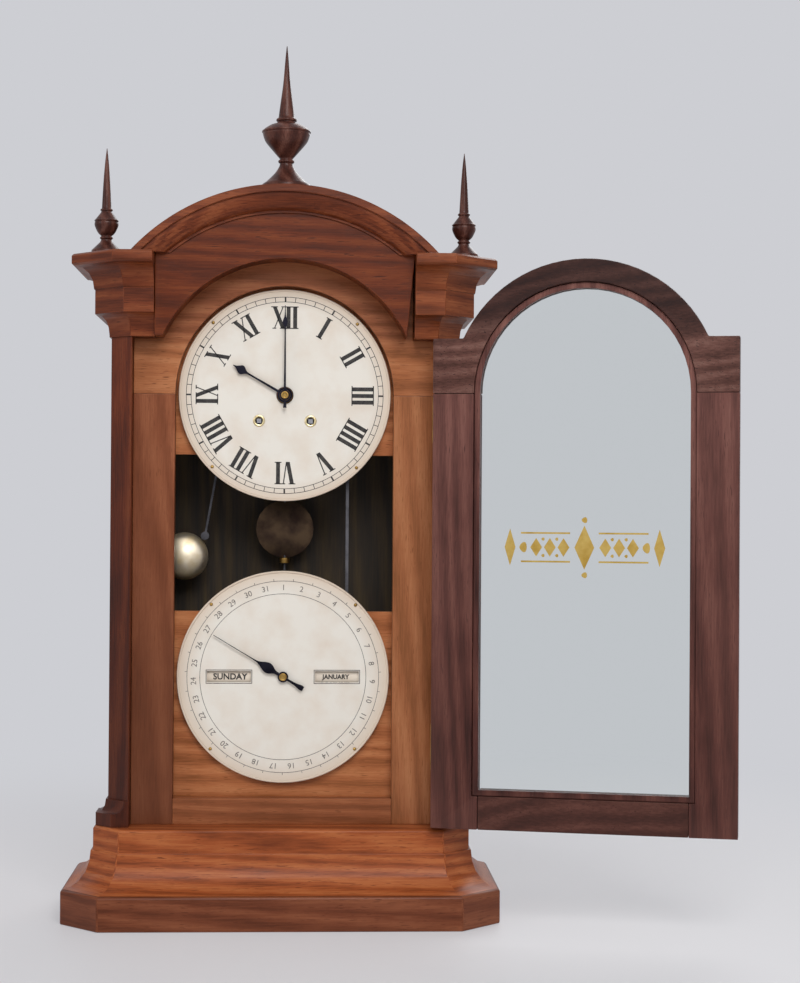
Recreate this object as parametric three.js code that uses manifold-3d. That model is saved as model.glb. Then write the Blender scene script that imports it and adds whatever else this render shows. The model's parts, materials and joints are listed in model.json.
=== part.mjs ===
// A double-dial shelf clock: time above, calendar below, in a walnut case with its door open.
// Units are millimetres. X runs to the right, Y to the back, Z up.
// The origin is the middle of the case width, on the underside of the base.
import * as THREE from 'three';
import { mergeVertices } from 'three/addons/utils/BufferGeometryUtils.js';
import Module from 'manifold-3d';

const wasm = await Module();
wasm.setup();

// Case
const CASE_HALF = 161.5; // half width of the body across its corner posts
const CASE_BACK = 83; // back of the clock
const POST_FRONT = -52; // front of the corner posts and of the closed door
const POST_DEPTH = 42; // front to back of a corner post
const CORNER_CANT = 20; // leg of the 45 degree corner
const POST_LAND = 0.5; // narrow front face of a corner post
const SIDE_BOARD = 12; // thickness of a side board
const BACK_BOARD = 10; // thickness of the back board
const JOINT_GAP = 0.2; // gap left between pieces that meet on a curve or in a slot

// Base
const PLINTH_HEIGHT = 32;
const PLINTH_REACH = 41; // how far the plinth stands out from the body
const PLINTH_EASE = 2; // softened top edge of the plinth
const COVE_HEIGHT = 34;
const FASCIA_HEIGHT = 22; // upright face above the cove
const FASCIA_REACH = 13;
const FASCIA_STEP = 2; // ledge between the cove and the fascia
const BASE_CANT_GAIN = 0.42; // growth of the base's corner leg with its reach
const BLOCK_HEIGHT = 24; // moulded foot of each corner post

// Dials and face frame
const DIAL_SPACING = 264; // from the calendar dial's centre up to the time dial's
const DIAL_RADIUS = 99;
const DIAL_SHEET = 1.5; // sheet thickness of a pan dial
const DIAL_DEPTH = 6.5; // how far a pan dial stands off its board
const DIAL_MARGIN = 3; // space between a dial and the face frame
const FRAME_THICK = 14;
const FRAME_RAIL = 24; // height of the bottom rail
const RAIL_SPACE = 14; // from the bottom rail up to the calendar dial
const DIAL_BOARD = 7; // thickness of a dial board
const BOARD_LAP = 16; // how far a dial board runs behind the face frame
const UPPER_BOARD_DROP = 56; // lower edge of the upper board below the dial centre
const LOWER_BOARD_RISE = 61; // top edge of the lower board above the calendar centre
const DIAL_BORE = 8; // hole at the middle of the time dial
const KEY_HOLE = 5.5; // radius of a winding hole

// Bonnet
const BONNET_RISE = 52; // foot of the bonnet and of the cornice caps above the dial centre
const BONNET_EAR = 7.2; // width of the bonnet front beside the door arch, at its foot
const CAP_HEIGHT = 76;
const CAP_REACH = 36; // how far the top of a cap stands out
const CAP_NECK = 15; // reach of its middle
const CAP_BED = 21; // height of its lower hollow
const CAP_HOLLOW = 21; // height of its upper hollow
const CAP_FASCIA = 11; // height of its top band
const CAP_FILLET = 2;
const BONNET_PROUD = 10; // how far the bonnet front stands before the posts
const ROOF_INSET = 23; // foot of the bonnet roof inside the body's half width
const ROOF_THICK = 12.5;
const HOOD_WIDTH = 25; // width of the curved cornice
const HOOD_PROUD = 14; // how far the curved cornice stands forward
const HOOD_LIP = 2.5; // how far it stands above the roof

// Door
const DOOR_THICK = 18;
const DOOR_FOOT_GAP = 3; // space under the door
const DOOR_ARCH = 122; // outer radius of the door arch
const DOOR_TOP_GAP = 1.5; // space between the door's shoulders and the caps
const SIGHT_HALF = 95.5; // half width and arch radius of the glazed opening
const DOOR_RAIL = 36; // height of the door's bottom rail
const DOOR_REST = 0.5; // gap between the closed door and the face frame
const DOOR_ARCH_GAP = 2; // gap between the door arch and the bonnet
const DOOR_LIP = 6; // wood in front of the glass
const GLASS_THICK = 2.4;
const GLASS_LAP = 5.5; // width of the ledge that holds the glass
const BEAD_DEPTH = 6;
const TURNED_GAP = 0.3; // gap between pieces of the turned door
const DOOR_OPEN = 166; // degrees from closed to the photographed pose
const HINGE_GAP = 2; // space between the door edge and its post
const LEAF_THICK = 0.8;
const KNUCKLE_RADIUS = 2.5;
const PIN_RADIUS = 1.1;
const HINGE_HEIGHT = 42;
const HINGE_RISE = 74; // middle of the lower hinge above the door's foot
const HINGE_DROP = 24; // middle of the upper hinge below the dial centre
const BOLT_RISE = 209; // slide bolt above the door's foot
const BOLT_HEIGHT = 10;
const BOLT_THICK = 4;
const BOLT_COVER = 4; // wood between the bolt and the back of the door
const BOLT_LENGTH = 18;
const BOLT_TRAVEL = 4.5;
const BOLT_GAP = 0.3;

// Movement
const PLATE = 2; // thickness of a movement plate
const PLATE_RISE = 72; // top of the plates above the dial centre
const PLATE_MARGIN = 2; // plates beyond the great wheels
const MOTION_SPACE = 10.5; // room between the dial board and the front plate
const PLATE_SPACE = 36; // room between the plates
const PILLAR_RADIUS = 3;
const PILLAR_INSET = 6; // pillars from the edges of the plates
const TRAIN_MODULE = 0.75; // great wheels
const MOTION_MODULE = 1;
const WINDING = { teeth: 84, pinion: 7 };
const CENTRE = { teeth: 80, pinion: 8 };
const THIRD = { teeth: 80, pinion: 8 };
const CANNON_TEETH = 12;
const MINUTE_TEETH = 36;
const MINUTE_PINION = 10;
const HOUR_TEETH = 40;
const PIVOT_GAP = 0.5; // running clearance round an arbor
const ARBOR_RADIUS = 1.2;
const CENTRE_ARBOR_RADIUS = 1.6;
const CANNON_BORE = 2; // inside of the pipe that carries the minute hand
const CANNON_PIPE = 3;
const HOUR_BORE = 3.5; // inside of the pipe that carries the hour hand
const HOUR_PIPE = 5;
const WINDING_RADIUS = 3;
const ESCAPE_RADIUS = 16;
const ESCAPE_TEETH = 42;
const VERGE_RISE = 22; // verge arbor above the escape wheel
const SPRING_MARGIN = 10; // mainspring inside the rim of its great wheel
const SPRING_TURNS = 3.5;
const SPRING_STEPS = 10; // flats in one turn of a mainspring

// Pendulum and bell
const COCK_DROP = 5; // suspension below the top of the plates
const PENDULUM_LENGTH = 193; // from the suspension to the middle of the bob
const PENDULUM_BACK = 10; // pendulum rod behind the back plate
const BOB_RADIUS = 28;
const BOB_THICK = 11;
const ROD_RADIUS = 1.5;
const BELL_INSET = 64.5; // middle of the bell from the case side
const BELL_DROP = 153; // bell below the dial centre
const BELL_RADIUS = 23;
const BELL_DEPTH = 16;
const HAMMER_REST = 1.2; // gap between hammer and bell at rest

// Calendar work
const ROLLER_RADIUS = 14;
const ROLLER_INNER = 27; // inner end of a name roller from the middle
const ROLLER_LENGTH = 47;
const WINDOW_INNER = 30; // name windows in the calendar dial
const WINDOW_LENGTH = 41;
const WINDOW_HALF = 5.2;
const DATE_TEETH = 31;
const DATE_WHEEL_RADIUS = 18;
const DATE_ARBOR = 2;
const CALENDAR_HALF = 88; // half width of the calendar's frame plate
const CALENDAR_RISE = 30; // half height of that plate
const GUIDE_RISE = 55; // top of the lift rod's guide
const LIFT_SIDE = 3; // lift rod between clock and calendar
const LIFT_GAP = 0.5; // room between the lift rod and the movement

// Hands
const HOUR_HAND = 56; // length from the centre
const HOUR_BOSS = 8;
const HOUR_ANGLE = 300; // degrees from twelve, as photographed
const MINUTE_HAND = 84;
const MINUTE_TAIL = 12;
const MINUTE_BOSS = 6;
const MINUTE_RISE = 3; // minute hand in front of the hour hand
const DATE_HAND = 76;
const DATE_TAIL = 22;
const DATE_BOSS = 8.5;
const DATE_ANGLE = 301;
const HAND_THICK = 1.2;
const HAND_RISE = 3.5; // front of the lower hand from the dial
const HAND_ARM = 0.55; // width of a hand's arm against its boss

// Heights and planes that follow from the sizes above
const BASE_TOP = PLINTH_HEIGHT + COVE_HEIGHT + FASCIA_HEIGHT;
const BLOCK_REACH = FASCIA_REACH - PLINTH_EASE;
const CALENDAR_Z = BASE_TOP + FRAME_RAIL + RAIL_SPACE + DIAL_RADIUS;
const DIAL_Z = CALENDAR_Z + DIAL_SPACING; // centre of the time dial, the door arch and the bonnet
const CENTRE_MODULE = TRAIN_MODULE * 0.8;
const THIRD_MODULE = TRAIN_MODULE / 1.5;
const greatReach = TRAIN_MODULE * (WINDING.teeth + WINDING.pinion) / 2;
const greatRadius = TRAIN_MODULE * (WINDING.teeth + 1) / 2;
const PLATE_HALF = greatReach * Math.SQRT1_2 + greatRadius + PLATE_MARGIN;
const PLATE_DROP = PLATE_HALF - PLATE_MARGIN; // bottom of the plates below the dial centre
const SPRING_RADIUS = greatRadius - SPRING_MARGIN;
const BONNET_FOOT = DIAL_Z + BONNET_RISE;
const CAP_TOP = BONNET_FOOT + CAP_HEIGHT;
const BONNET_RADIUS = Math.hypot(CASE_HALF - ROOF_INSET, CAP_TOP - DIAL_Z); // outside of the roof
const PENDULUM_Z = DIAL_Z + PLATE_RISE - COCK_DROP;
const BOB_Z = PENDULUM_Z - PENDULUM_LENGTH;
const BELL_X = BELL_INSET - CASE_HALF;
const BELL_Z = DIAL_Z - BELL_DROP;
const LIFT_X = PLATE_HALF + LIFT_GAP + LIFT_SIDE / 2;
const FRAME_FRONT = POST_FRONT + DOOR_THICK + DOOR_REST;
const FRAME_BACK = FRAME_FRONT + FRAME_THICK;
const BOARD_BACK = FRAME_BACK + DIAL_BOARD;
const DIAL_FRONT = FRAME_BACK - DIAL_DEPTH;
const OPENING_HALF = DIAL_RADIUS + DIAL_MARGIN;
const POST_INNER = CASE_HALF - CORNER_CANT - POST_LAND;
const DOOR_HALF = POST_INNER - HINGE_GAP;
const DOOR_BOTTOM = BASE_TOP + DOOR_FOOT_GAP;
const BOLT_Z = DOOR_BOTTOM + BOLT_RISE;
const POST_BACK = POST_FRONT + POST_DEPTH;
const BACK_FACE = CASE_BACK - BACK_BOARD;
const BONNET_FRONT = POST_FRONT - BONNET_PROUD;
const DOOR_BACK = POST_FRONT + DOOR_THICK;
const BOLT_BACK = DOOR_BACK - BOLT_COVER;
const BOLT_FRONT = BOLT_BACK - BOLT_THICK;
const FRONT_PLATE = BOARD_BACK + MOTION_SPACE;
const INSIDE = FRONT_PLATE + PLATE;
const BACK_PLATE = INSIDE + PLATE_SPACE;
const ARC_STEPS = 14;
const ROUND_STEPS = 12;

// Materials, coloured after the photo
function paint(colour, roughness, metalness) {
  return new THREE.MeshStandardMaterial({ color: colour, roughness, metalness });
}
const WALNUT = paint(0x6f3f2b, 0.38, 0);
const DARK_WALNUT = paint(0x4a2a20, 0.4, 0);
const BASE_WALNUT = paint(0x86503a, 0.36, 0);
const INSIDE_WOOD = paint(0x55402e, 0.7, 0);
const PAPER = paint(0xe2d8d0, 0.75, 0);
const BLUED_STEEL = paint(0x23222a, 0.4, 0.7);
const STEEL = paint(0x8c8c90, 0.35, 1);
const BRASS = paint(0xb08d4a, 0.35, 1);
const BELL_METAL = paint(0xd8c9a0, 0.3, 1);
const CLEAR_GLASS = paint(0xe4ece8, 0.05, 0);

// Solids and booleans
function toSolid(geometry) {
  const bare = new THREE.BufferGeometry();
  bare.setAttribute('position', geometry.getAttribute('position'));
  if (geometry.index) bare.setIndex(geometry.index);
  const merged = mergeVertices(bare, 1e-4);
  const triVerts = new Uint32Array(merged.index.array);
  const vertProperties = new Float32Array(merged.getAttribute('position').array);
  const solid = new wasm.Manifold(new wasm.Mesh({ numProp: 3, vertProperties, triVerts }));
  if (solid.volume() > 0) return solid;
  for (let i = 0; i < triVerts.length; i += 3) {
    [triVerts[i], triVerts[i + 1]] = [triVerts[i + 1], triVerts[i]];
  }
  return new wasm.Manifold(new wasm.Mesh({ numProp: 3, vertProperties, triVerts }));
}
function toGeometry(solid) {
  const { vertProperties, triVerts } = solid.getMesh();
  const geometry = new THREE.BufferGeometry();
  geometry.setAttribute('position', new THREE.BufferAttribute(new Float32Array(vertProperties), 3));
  geometry.setIndex(new THREE.BufferAttribute(new Uint32Array(triVerts), 1));
  geometry.computeVertexNormals();
  return geometry;
}
function join(...geometries) {
  return toGeometry(geometries.map(toSolid).reduce((a, b) => a.add(b)));
}
function cut(geometry, ...tools) {
  return toGeometry(tools.map(toSolid).reduce((a, b) => a.subtract(b), toSolid(geometry)));
}
function keep(geometry, region) {
  return toGeometry(toSolid(geometry).intersect(toSolid(region)));
}

// Basic shapes
function box(x0, x1, y0, y1, z0, z1) {
  const geometry = new THREE.BoxGeometry(x1 - x0, y1 - y0, z1 - z0);
  return geometry.translate((x0 + x1) / 2, (y0 + y1) / 2, (z0 + z1) / 2);
}
// A drawing in the front view, cut out of sheet between two planes.
function sheet(shape, front, back, steps = ARC_STEPS) {
  const depth = back - front;
  const geometry = new THREE.ExtrudeGeometry(shape, { depth, bevelEnabled: false, curveSegments: steps });
  return geometry.rotateX(Math.PI / 2).translate(0, back, 0);
}
// A profile of radius and Y turned about a front-to-back axis.
function turned(profile, x, z, steps = ROUND_STEPS) {
  const points = profile.map(([r, y]) => new THREE.Vector2(r, y));
  return new THREE.LatheGeometry(points, steps).translate(x, 0, z);
}
function rod(radius, front, back, x, z, steps = ROUND_STEPS) {
  return turned([[0, front], [radius, front], [radius, back], [0, back]], x, z, steps);
}
// A profile of radius and height turned about an upright axis.
function spindle(profile, x, y, steps = ROUND_STEPS) {
  const points = profile.map(([r, z]) => new THREE.Vector2(r, z));
  return new THREE.LatheGeometry(points, steps).rotateX(Math.PI / 2).translate(x, y, 0);
}
function polygon(points) {
  return new THREE.Shape(points.map(([x, z]) => new THREE.Vector2(x, z)));
}
// Outlines at rising heights joined into one moulded solid.
function loft(levels) {
  const count = levels[0].outline.length;
  const position = levels.flatMap(({ z, outline }) => outline.flatMap(([x, y]) => [x, y, z]));
  const index = [];
  for (let k = 0; k + 1 < levels.length; k++) {
    for (let i = 0; i < count; i++) {
      const a = k * count + i;
      const b = k * count + ((i + 1) % count);
      index.push(a, b, b + count, a, b + count, a + count);
    }
  }
  const caps = (level) => level.outline.map(([x, y]) => new THREE.Vector2(x, y));
  for (const [a, b, c] of THREE.ShapeUtils.triangulateShape(caps(levels[0]), [])) index.push(c, b, a);
  const top = (levels.length - 1) * count;
  for (const [a, b, c] of THREE.ShapeUtils.triangulateShape(caps(levels.at(-1)), [])) {
    index.push(a + top, b + top, c + top);
  }
  const geometry = new THREE.BufferGeometry();
  geometry.setAttribute('position', new THREE.Float32BufferAttribute(position, 3));
  return geometry.setIndex(index);
}
// A hollow quarter curve between two heights, as pairs of height and reach.
function cove(z0, reach0, z1, reach1, upward, steps = 5) {
  const pairs = [];
  for (let i = 0; i <= steps; i++) {
    const t = (i / steps) * (Math.PI / 2);
    const rise = upward ? Math.sin(t) : 1 - Math.cos(t);
    const run = upward ? 1 - Math.cos(t) : Math.sin(t);
    pairs.push([z0 + (z1 - z0) * rise, reach0 + (reach1 - reach0) * run]);
  }
  return pairs;
}
function mirrored(geometry) {
  const copy = geometry.clone().applyMatrix4(new THREE.Matrix4().makeScale(-1, 1, 1));
  return toGeometry(toSolid(copy));
}

// The part, its door and the way a piece is added
const clock = new THREE.Group();
clock.name = 'calendar_clock';
const hingeX = DOOR_HALF + HINGE_GAP / 2;
const hingeY = POST_FRONT - KNUCKLE_RADIUS - 0.1;
const door = new THREE.Group();
door.position.set(hingeX, hingeY, 0);
door.rotation.z = THREE.MathUtils.degToRad(DOOR_OPEN);
clock.add(door);
function add(name, geometry, material) {
  const mesh = new THREE.Mesh(geometry, material);
  mesh.name = name;
  clock.add(mesh);
}
// Door pieces are drawn on the closed door and turned with it.
function addToDoor(name, geometry, material) {
  const mesh = new THREE.Mesh(geometry.clone().translate(-hingeX, -hingeY, 0), material);
  mesh.name = name;
  door.add(mesh);
}

// Base: plinth and cove moulding follow the canted body plan
function bodyPlan(reach) {
  const side = CASE_HALF + reach;
  const front = POST_FRONT - reach;
  const cant = CORNER_CANT + reach * BASE_CANT_GAIN;
  return [[-side, CASE_BACK], [-side, front + cant], [-side + cant, front],
    [side - cant, front], [side, front + cant], [side, CASE_BACK]];
}
function moulding(pairs, plan) {
  return loft(pairs.map(([z, reach]) => ({ z, outline: plan(reach) })));
}
add('plinth', moulding([[0, PLINTH_REACH], [PLINTH_HEIGHT - PLINTH_EASE, PLINTH_REACH],
  [PLINTH_HEIGHT, PLINTH_REACH - PLINTH_EASE]], bodyPlan), BASE_WALNUT);
const coveTop = PLINTH_HEIGHT + COVE_HEIGHT;
add('base_moulding', moulding([
  ...cove(PLINTH_HEIGHT, PLINTH_REACH - PLINTH_EASE, coveTop, FASCIA_REACH + FASCIA_STEP, false),
  [coveTop, FASCIA_REACH], [BASE_TOP - PLINTH_EASE, FASCIA_REACH],
  [BASE_TOP, FASCIA_REACH - PLINTH_EASE]], bodyPlan), BASE_WALNUT);

// Corner posts with a moulded foot that keeps clear of the open door
function postPlan(reach) {
  const flat = CASE_HALF - CORNER_CANT;
  const side = CASE_HALF + reach;
  const slant = reach * Math.SQRT2;
  return [[POST_INNER, POST_FRONT], [flat + slant, POST_FRONT],
    [side, POST_FRONT + CORNER_CANT + reach - slant], [side, POST_BACK], [POST_INNER, POST_BACK]];
}
const footMid = BASE_TOP + BLOCK_HEIGHT / 2;
const post = moulding([[BASE_TOP, BLOCK_REACH], [footMid, BLOCK_REACH],
  ...cove(footMid, BLOCK_REACH - 2, BASE_TOP + BLOCK_HEIGHT, 2, false, 3),
  [BASE_TOP + BLOCK_HEIGHT, 0], [BONNET_FOOT, 0]], postPlan);
const boltThrow = BOLT_TRAVEL + HINGE_GAP / 2;
const boltSlot = box(-POST_INNER - boltThrow, -POST_INNER + 1, BOLT_FRONT - BOLT_GAP, BOLT_BACK + BOLT_GAP,
  BOLT_Z - BOLT_HEIGHT / 2 - BOLT_GAP, BOLT_Z + BOLT_HEIGHT / 2 + BOLT_GAP);
add('right_corner_post', post, DARK_WALNUT);
add('left_corner_post', cut(mirrored(post), boltSlot), DARK_WALNUT);
const sideBoard = box(CASE_HALF - SIDE_BOARD, CASE_HALF, POST_BACK, BACK_FACE, BASE_TOP, BONNET_FOOT);
add('right_side_board', sideBoard, WALNUT);
add('left_side_board', mirrored(sideBoard), WALNUT);

// Back board with its top shaped to the bonnet
const roofInner = BONNET_RADIUS - ROOF_THICK;
function arcStart(radius, height) {
  return Math.asin((height - DIAL_Z) / radius);
}
const backShape = polygon([[-CASE_HALF, BASE_TOP], [CASE_HALF, BASE_TOP], [CASE_HALF, CAP_TOP]]);
const backArc = roofInner - JOINT_GAP;
const backAngle = arcStart(backArc, CAP_TOP);
backShape.absarc(0, DIAL_Z, backArc, backAngle, Math.PI - backAngle, false);
backShape.lineTo(-CASE_HALF, CAP_TOP);
add('back_board', sheet(backShape, BACK_FACE, CASE_BACK), INSIDE_WOOD);

// Face frame seen when the door is open
const stile = box(OPENING_HALF, POST_INNER - JOINT_GAP, FRAME_FRONT, FRAME_BACK, BASE_TOP, DIAL_Z);
add('face_right_stile', stile, WALNUT);
add('face_left_stile', mirrored(stile), WALNUT);
add('face_bottom_rail', box(-OPENING_HALF, OPENING_HALF, FRAME_FRONT, FRAME_BACK,
  BASE_TOP, BASE_TOP + FRAME_RAIL), WALNUT);
const archWide = POST_INNER - JOINT_GAP;
const recess = DOOR_ARCH + DOOR_ARCH_GAP;
const archNarrow = Math.sqrt(recess ** 2 - BONNET_RISE ** 2) + BONNET_EAR;
const faceArch = polygon([[OPENING_HALF, DIAL_Z], [archWide, DIAL_Z], [archWide, BONNET_FOOT],
  [archNarrow, BONNET_FOOT], [archNarrow, CAP_TOP], [-archNarrow, CAP_TOP],
  [-archNarrow, BONNET_FOOT], [-archWide, BONNET_FOOT], [-archWide, DIAL_Z], [-OPENING_HALF, DIAL_Z]]);
faceArch.absarc(0, DIAL_Z, OPENING_HALF, Math.PI, 0, true);
add('face_arch', sheet(faceArch, FRAME_FRONT, FRAME_BACK), WALNUT);

// Bonnet: front panel, curved roof and curved cornice, all about the dial centre
const recessAngle = arcStart(recess, BONNET_FOOT);
const frontArc = roofInner - JOINT_GAP;
const frontAngle = Math.acos(archNarrow / frontArc);
const bonnet = new THREE.Shape();
bonnet.moveTo(archNarrow, BONNET_FOOT);
bonnet.absarc(0, DIAL_Z, frontArc, frontAngle, Math.PI - frontAngle, false);
bonnet.lineTo(-archNarrow, BONNET_FOOT);
bonnet.absarc(0, DIAL_Z, recess, Math.PI - recessAngle, recessAngle, true);
add('bonnet_front', sheet(bonnet, BONNET_FRONT, FRAME_FRONT), WALNUT);
const roof = new THREE.Shape();
const roofOut = arcStart(BONNET_RADIUS, CAP_TOP);
const roofIn = arcStart(roofInner, CAP_TOP);
roof.absarc(0, DIAL_Z, BONNET_RADIUS, roofOut, Math.PI - roofOut, false);
roof.absarc(0, DIAL_Z, roofInner, Math.PI - roofIn, roofIn, true);
add('bonnet_roof', sheet(roof, BONNET_FRONT, CASE_BACK), WALNUT);
const hoodOut = BONNET_RADIUS + HOOD_LIP;
const hoodProfile = [[hoodOut - HOOD_WIDTH, BONNET_FRONT]];
for (const [reach, width] of cove(2, 0, HOOD_PROUD, HOOD_WIDTH - 7, true, 4)) {
  hoodProfile.push([hoodOut - HOOD_WIDTH + width, BONNET_FRONT - reach]);
}
hoodProfile.push([hoodOut, BONNET_FRONT - HOOD_PROUD], [hoodOut, BONNET_FRONT], hoodProfile[0]);
const hoodFront = BONNET_FRONT - 2 * HOOD_PROUD;
const aboveCaps = box(-CASE_HALF * 2, CASE_HALF * 2, hoodFront, CASE_BACK, CAP_TOP + JOINT_GAP, CAP_TOP * 2);
add('bonnet_cornice', keep(turned(hoodProfile, 0, DIAL_Z, 4 * ARC_STEPS), aboveCaps), DARK_WALNUT);

// Cornice caps over the corner posts
const capInner = archNarrow + JOINT_GAP;
function capPlan(reach) {
  const side = CASE_HALF + reach;
  const front = POST_FRONT - reach;
  const cant = CORNER_CANT + reach * (2 - Math.SQRT2);
  return [[capInner, front], [side - cant, front], [side, front + cant], [side, BACK_FACE],
    [capInner, BACK_FACE]];
}
const bedTop = BONNET_FOOT + CAP_BED;
const fasciaFoot = CAP_TOP - CAP_FASCIA;
const hollowFoot = fasciaFoot - CAP_HOLLOW;
const capEdge = CAP_REACH - CAP_FILLET;
const cap = moulding([[BONNET_FOOT, CAP_FILLET],
  ...cove(BONNET_FOOT + CAP_FILLET, CAP_FILLET, bedTop, CAP_NECK - CAP_FILLET, true, 4),
  [bedTop, CAP_NECK], [hollowFoot, CAP_NECK],
  ...cove(hollowFoot, CAP_NECK + CAP_FILLET / 2, fasciaFoot, capEdge - CAP_FILLET, true, 4),
  [fasciaFoot, capEdge], [fasciaFoot + CAP_FILLET, CAP_REACH], [CAP_TOP - CAP_FILLET, CAP_REACH],
  [CAP_TOP, capEdge]], capPlan);
add('right_cornice_cap', cap, WALNUT);
add('left_cornice_cap', mirrored(cap), WALNUT);

// Finials
const roofTop = DIAL_Z + BONNET_RADIUS;
const finialY = BONNET_FRONT + 16;
const crown = [[0, -4], [23, -4], [23, 5], [19, 8], [11, 16], [6.5, 23], [5.5, 27], [8, 31], [13, 38],
  [19, 46], [22, 52], [22, 56], [16, 61], [8.5, 64], [8, 70], [5.5, 84], [3.4, 100], [1.6, 122], [0, 135.5]];
const crownFinial = spindle(crown.map(([r, h]) => [r, roofTop + h]), 0, finialY, 16);
const roofSolid = rod(BONNET_RADIUS + JOINT_GAP, hoodFront, CASE_BACK, 0, DIAL_Z, 8 * ARC_STEPS);
const hoodSolid = rod(hoodOut + JOINT_GAP, hoodFront, BONNET_FRONT + JOINT_GAP, 0, DIAL_Z, 8 * ARC_STEPS);
add('centre_finial', cut(crownFinial, roofSolid, hoodSolid), DARK_WALNUT);
const small = [[0, 0], [14, 0], [14, 5], [10, 8], [5, 13], [5, 17], [8, 21], [11, 27], [11, 31], [8, 36],
  [5, 40], [4.2, 52], [3, 72], [1.6, 88], [0, 100]];
const sideFinial = spindle(small.map(([r, h]) => [r, CAP_TOP + h]), CASE_HALF + 5, POST_FRONT + 14);
add('right_finial', sideFinial, DARK_WALNUT);
add('left_finial', mirrored(sideFinial), DARK_WALNUT);

// Train layout, seen from the front: places are X and Z from the dial centre
const motionReach = MOTION_MODULE * (CANNON_TEETH + MINUTE_TEETH) / 2;
const hourModule = 2 * motionReach / (MINUTE_PINION + HOUR_TEETH);
function place(angle, reach, from = [0, 0]) {
  const turn = THREE.MathUtils.degToRad(angle);
  return [from[0] + reach * Math.cos(turn), from[1] + reach * Math.sin(turn)];
}
const timeAt = place(-45, greatReach);
const strikeAt = place(-135, greatReach);
const thirdAt = place(135, CENTRE_MODULE * (CENTRE.teeth + CENTRE.pinion) / 2);
const thirdReach = THIRD_MODULE * (THIRD.teeth + THIRD.pinion) / 2;
const escapeAt = [0, thirdAt[1] + Math.sqrt(thirdReach ** 2 - thirdAt[0] ** 2)];
const vergeAt = [0, escapeAt[1] + VERGE_RISE];
const minuteAt = [0, motionReach];
const hammerAt = [ARBOR_RADIUS * 2.5 - PLATE_HALF, -8];
function facing(from, to) {
  return Math.atan2(to[1] - from[1], to[0] - from[0]);
}
// A toothed wheel outline: pointed teeth, one of them lying on the given angle.
function toothed(teeth, module, angle, [x, z]) {
  const points = [];
  for (let i = 0; i < teeth; i++) {
    for (const [turn, radius] of [[0, teeth / 2 + 0.5], [0.5, teeth / 2 - 0.9]]) {
      const a = angle + ((i + turn) * 2 * Math.PI) / teeth;
      points.push([x + module * radius * Math.cos(a), DIAL_Z + z + module * radius * Math.sin(a)]);
    }
  }
  return polygon(points);
}
function holed(shape, radius, [x, z]) {
  const hole = new THREE.Path();
  hole.absarc(x, DIAL_Z + z, radius, 0, 2 * Math.PI, true);
  shape.holes.push(hole);
  return shape;
}
function gapAngle(from, to, teeth) {
  return facing(from, to) + Math.PI / teeth;
}
function arbor(radius, front, back, [x, z]) {
  return rod(radius, front, back, x, DIAL_Z + z, 8);
}

// Dial boards and pan dials
const boardHalf = OPENING_HALF + BOARD_LAP;
const upperBoard = polygon([[-boardHalf, DIAL_Z - UPPER_BOARD_DROP], [boardHalf, DIAL_Z - UPPER_BOARD_DROP]]);
upperBoard.absarc(0, DIAL_Z, boardHalf, 0, Math.PI, false);
const keyHoles = [timeAt, strikeAt].map((at) => arbor(KEY_HOLE, DIAL_FRONT - 5, BOARD_BACK + 5, at));
const centreHole = arbor(DIAL_BORE, DIAL_FRONT - 5, BOARD_BACK + 5, [0, 0]);
add('upper_dial_board', cut(sheet(upperBoard, FRAME_BACK, BOARD_BACK), centreHole, ...keyHoles), WALNUT);
function panDial(bore, z) {
  const inner = DIAL_RADIUS - DIAL_SHEET;
  const sheetBack = DIAL_FRONT + DIAL_SHEET;
  return turned([[bore, DIAL_FRONT], [DIAL_RADIUS, DIAL_FRONT], [DIAL_RADIUS, FRAME_BACK],
    [inner, FRAME_BACK], [inner, sheetBack], [bore, sheetBack], [bore, DIAL_FRONT]], 0, z, 40);
}
add('time_dial', cut(panDial(DIAL_BORE, DIAL_Z), ...keyHoles), PAPER);

// Calendar dial and its board, opened for the two name rollers
const dateBore = 3.2;
const rollerY = DIAL_FRONT + DIAL_SHEET + 1.5 + ROLLER_RADIUS;
const rollerArbor = 1.5;
const earInner = ROLLER_INNER - 2.5;
const earOuter = ROLLER_INNER + ROLLER_LENGTH + 0.5;
const nameWindow = box(WINDOW_INNER, WINDOW_INNER + WINDOW_LENGTH, DIAL_FRONT - 5, DIAL_FRONT + 5,
  CALENDAR_Z - WINDOW_HALF, CALENDAR_Z + WINDOW_HALF);
add('calendar_dial', cut(panDial(dateBore, CALENDAR_Z), nameWindow, mirrored(nameWindow)), PAPER);
const rollerRoom = box(earInner - 3, earOuter + 3, FRAME_BACK - 5, BOARD_BACK + 5,
  CALENDAR_Z - ROLLER_RADIUS - 1, CALENDAR_Z + ROLLER_RADIUS + 1);
const dateHole = rod(dateBore, FRAME_BACK - 5, BOARD_BACK + 5, 0, CALENDAR_Z);
add('lower_dial_board', cut(box(-boardHalf, boardHalf, FRAME_BACK, BOARD_BACK, BASE_TOP,
  CALENDAR_Z + LOWER_BOARD_RISE), rollerRoom, mirrored(rollerRoom), dateHole), WALNUT);

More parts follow.
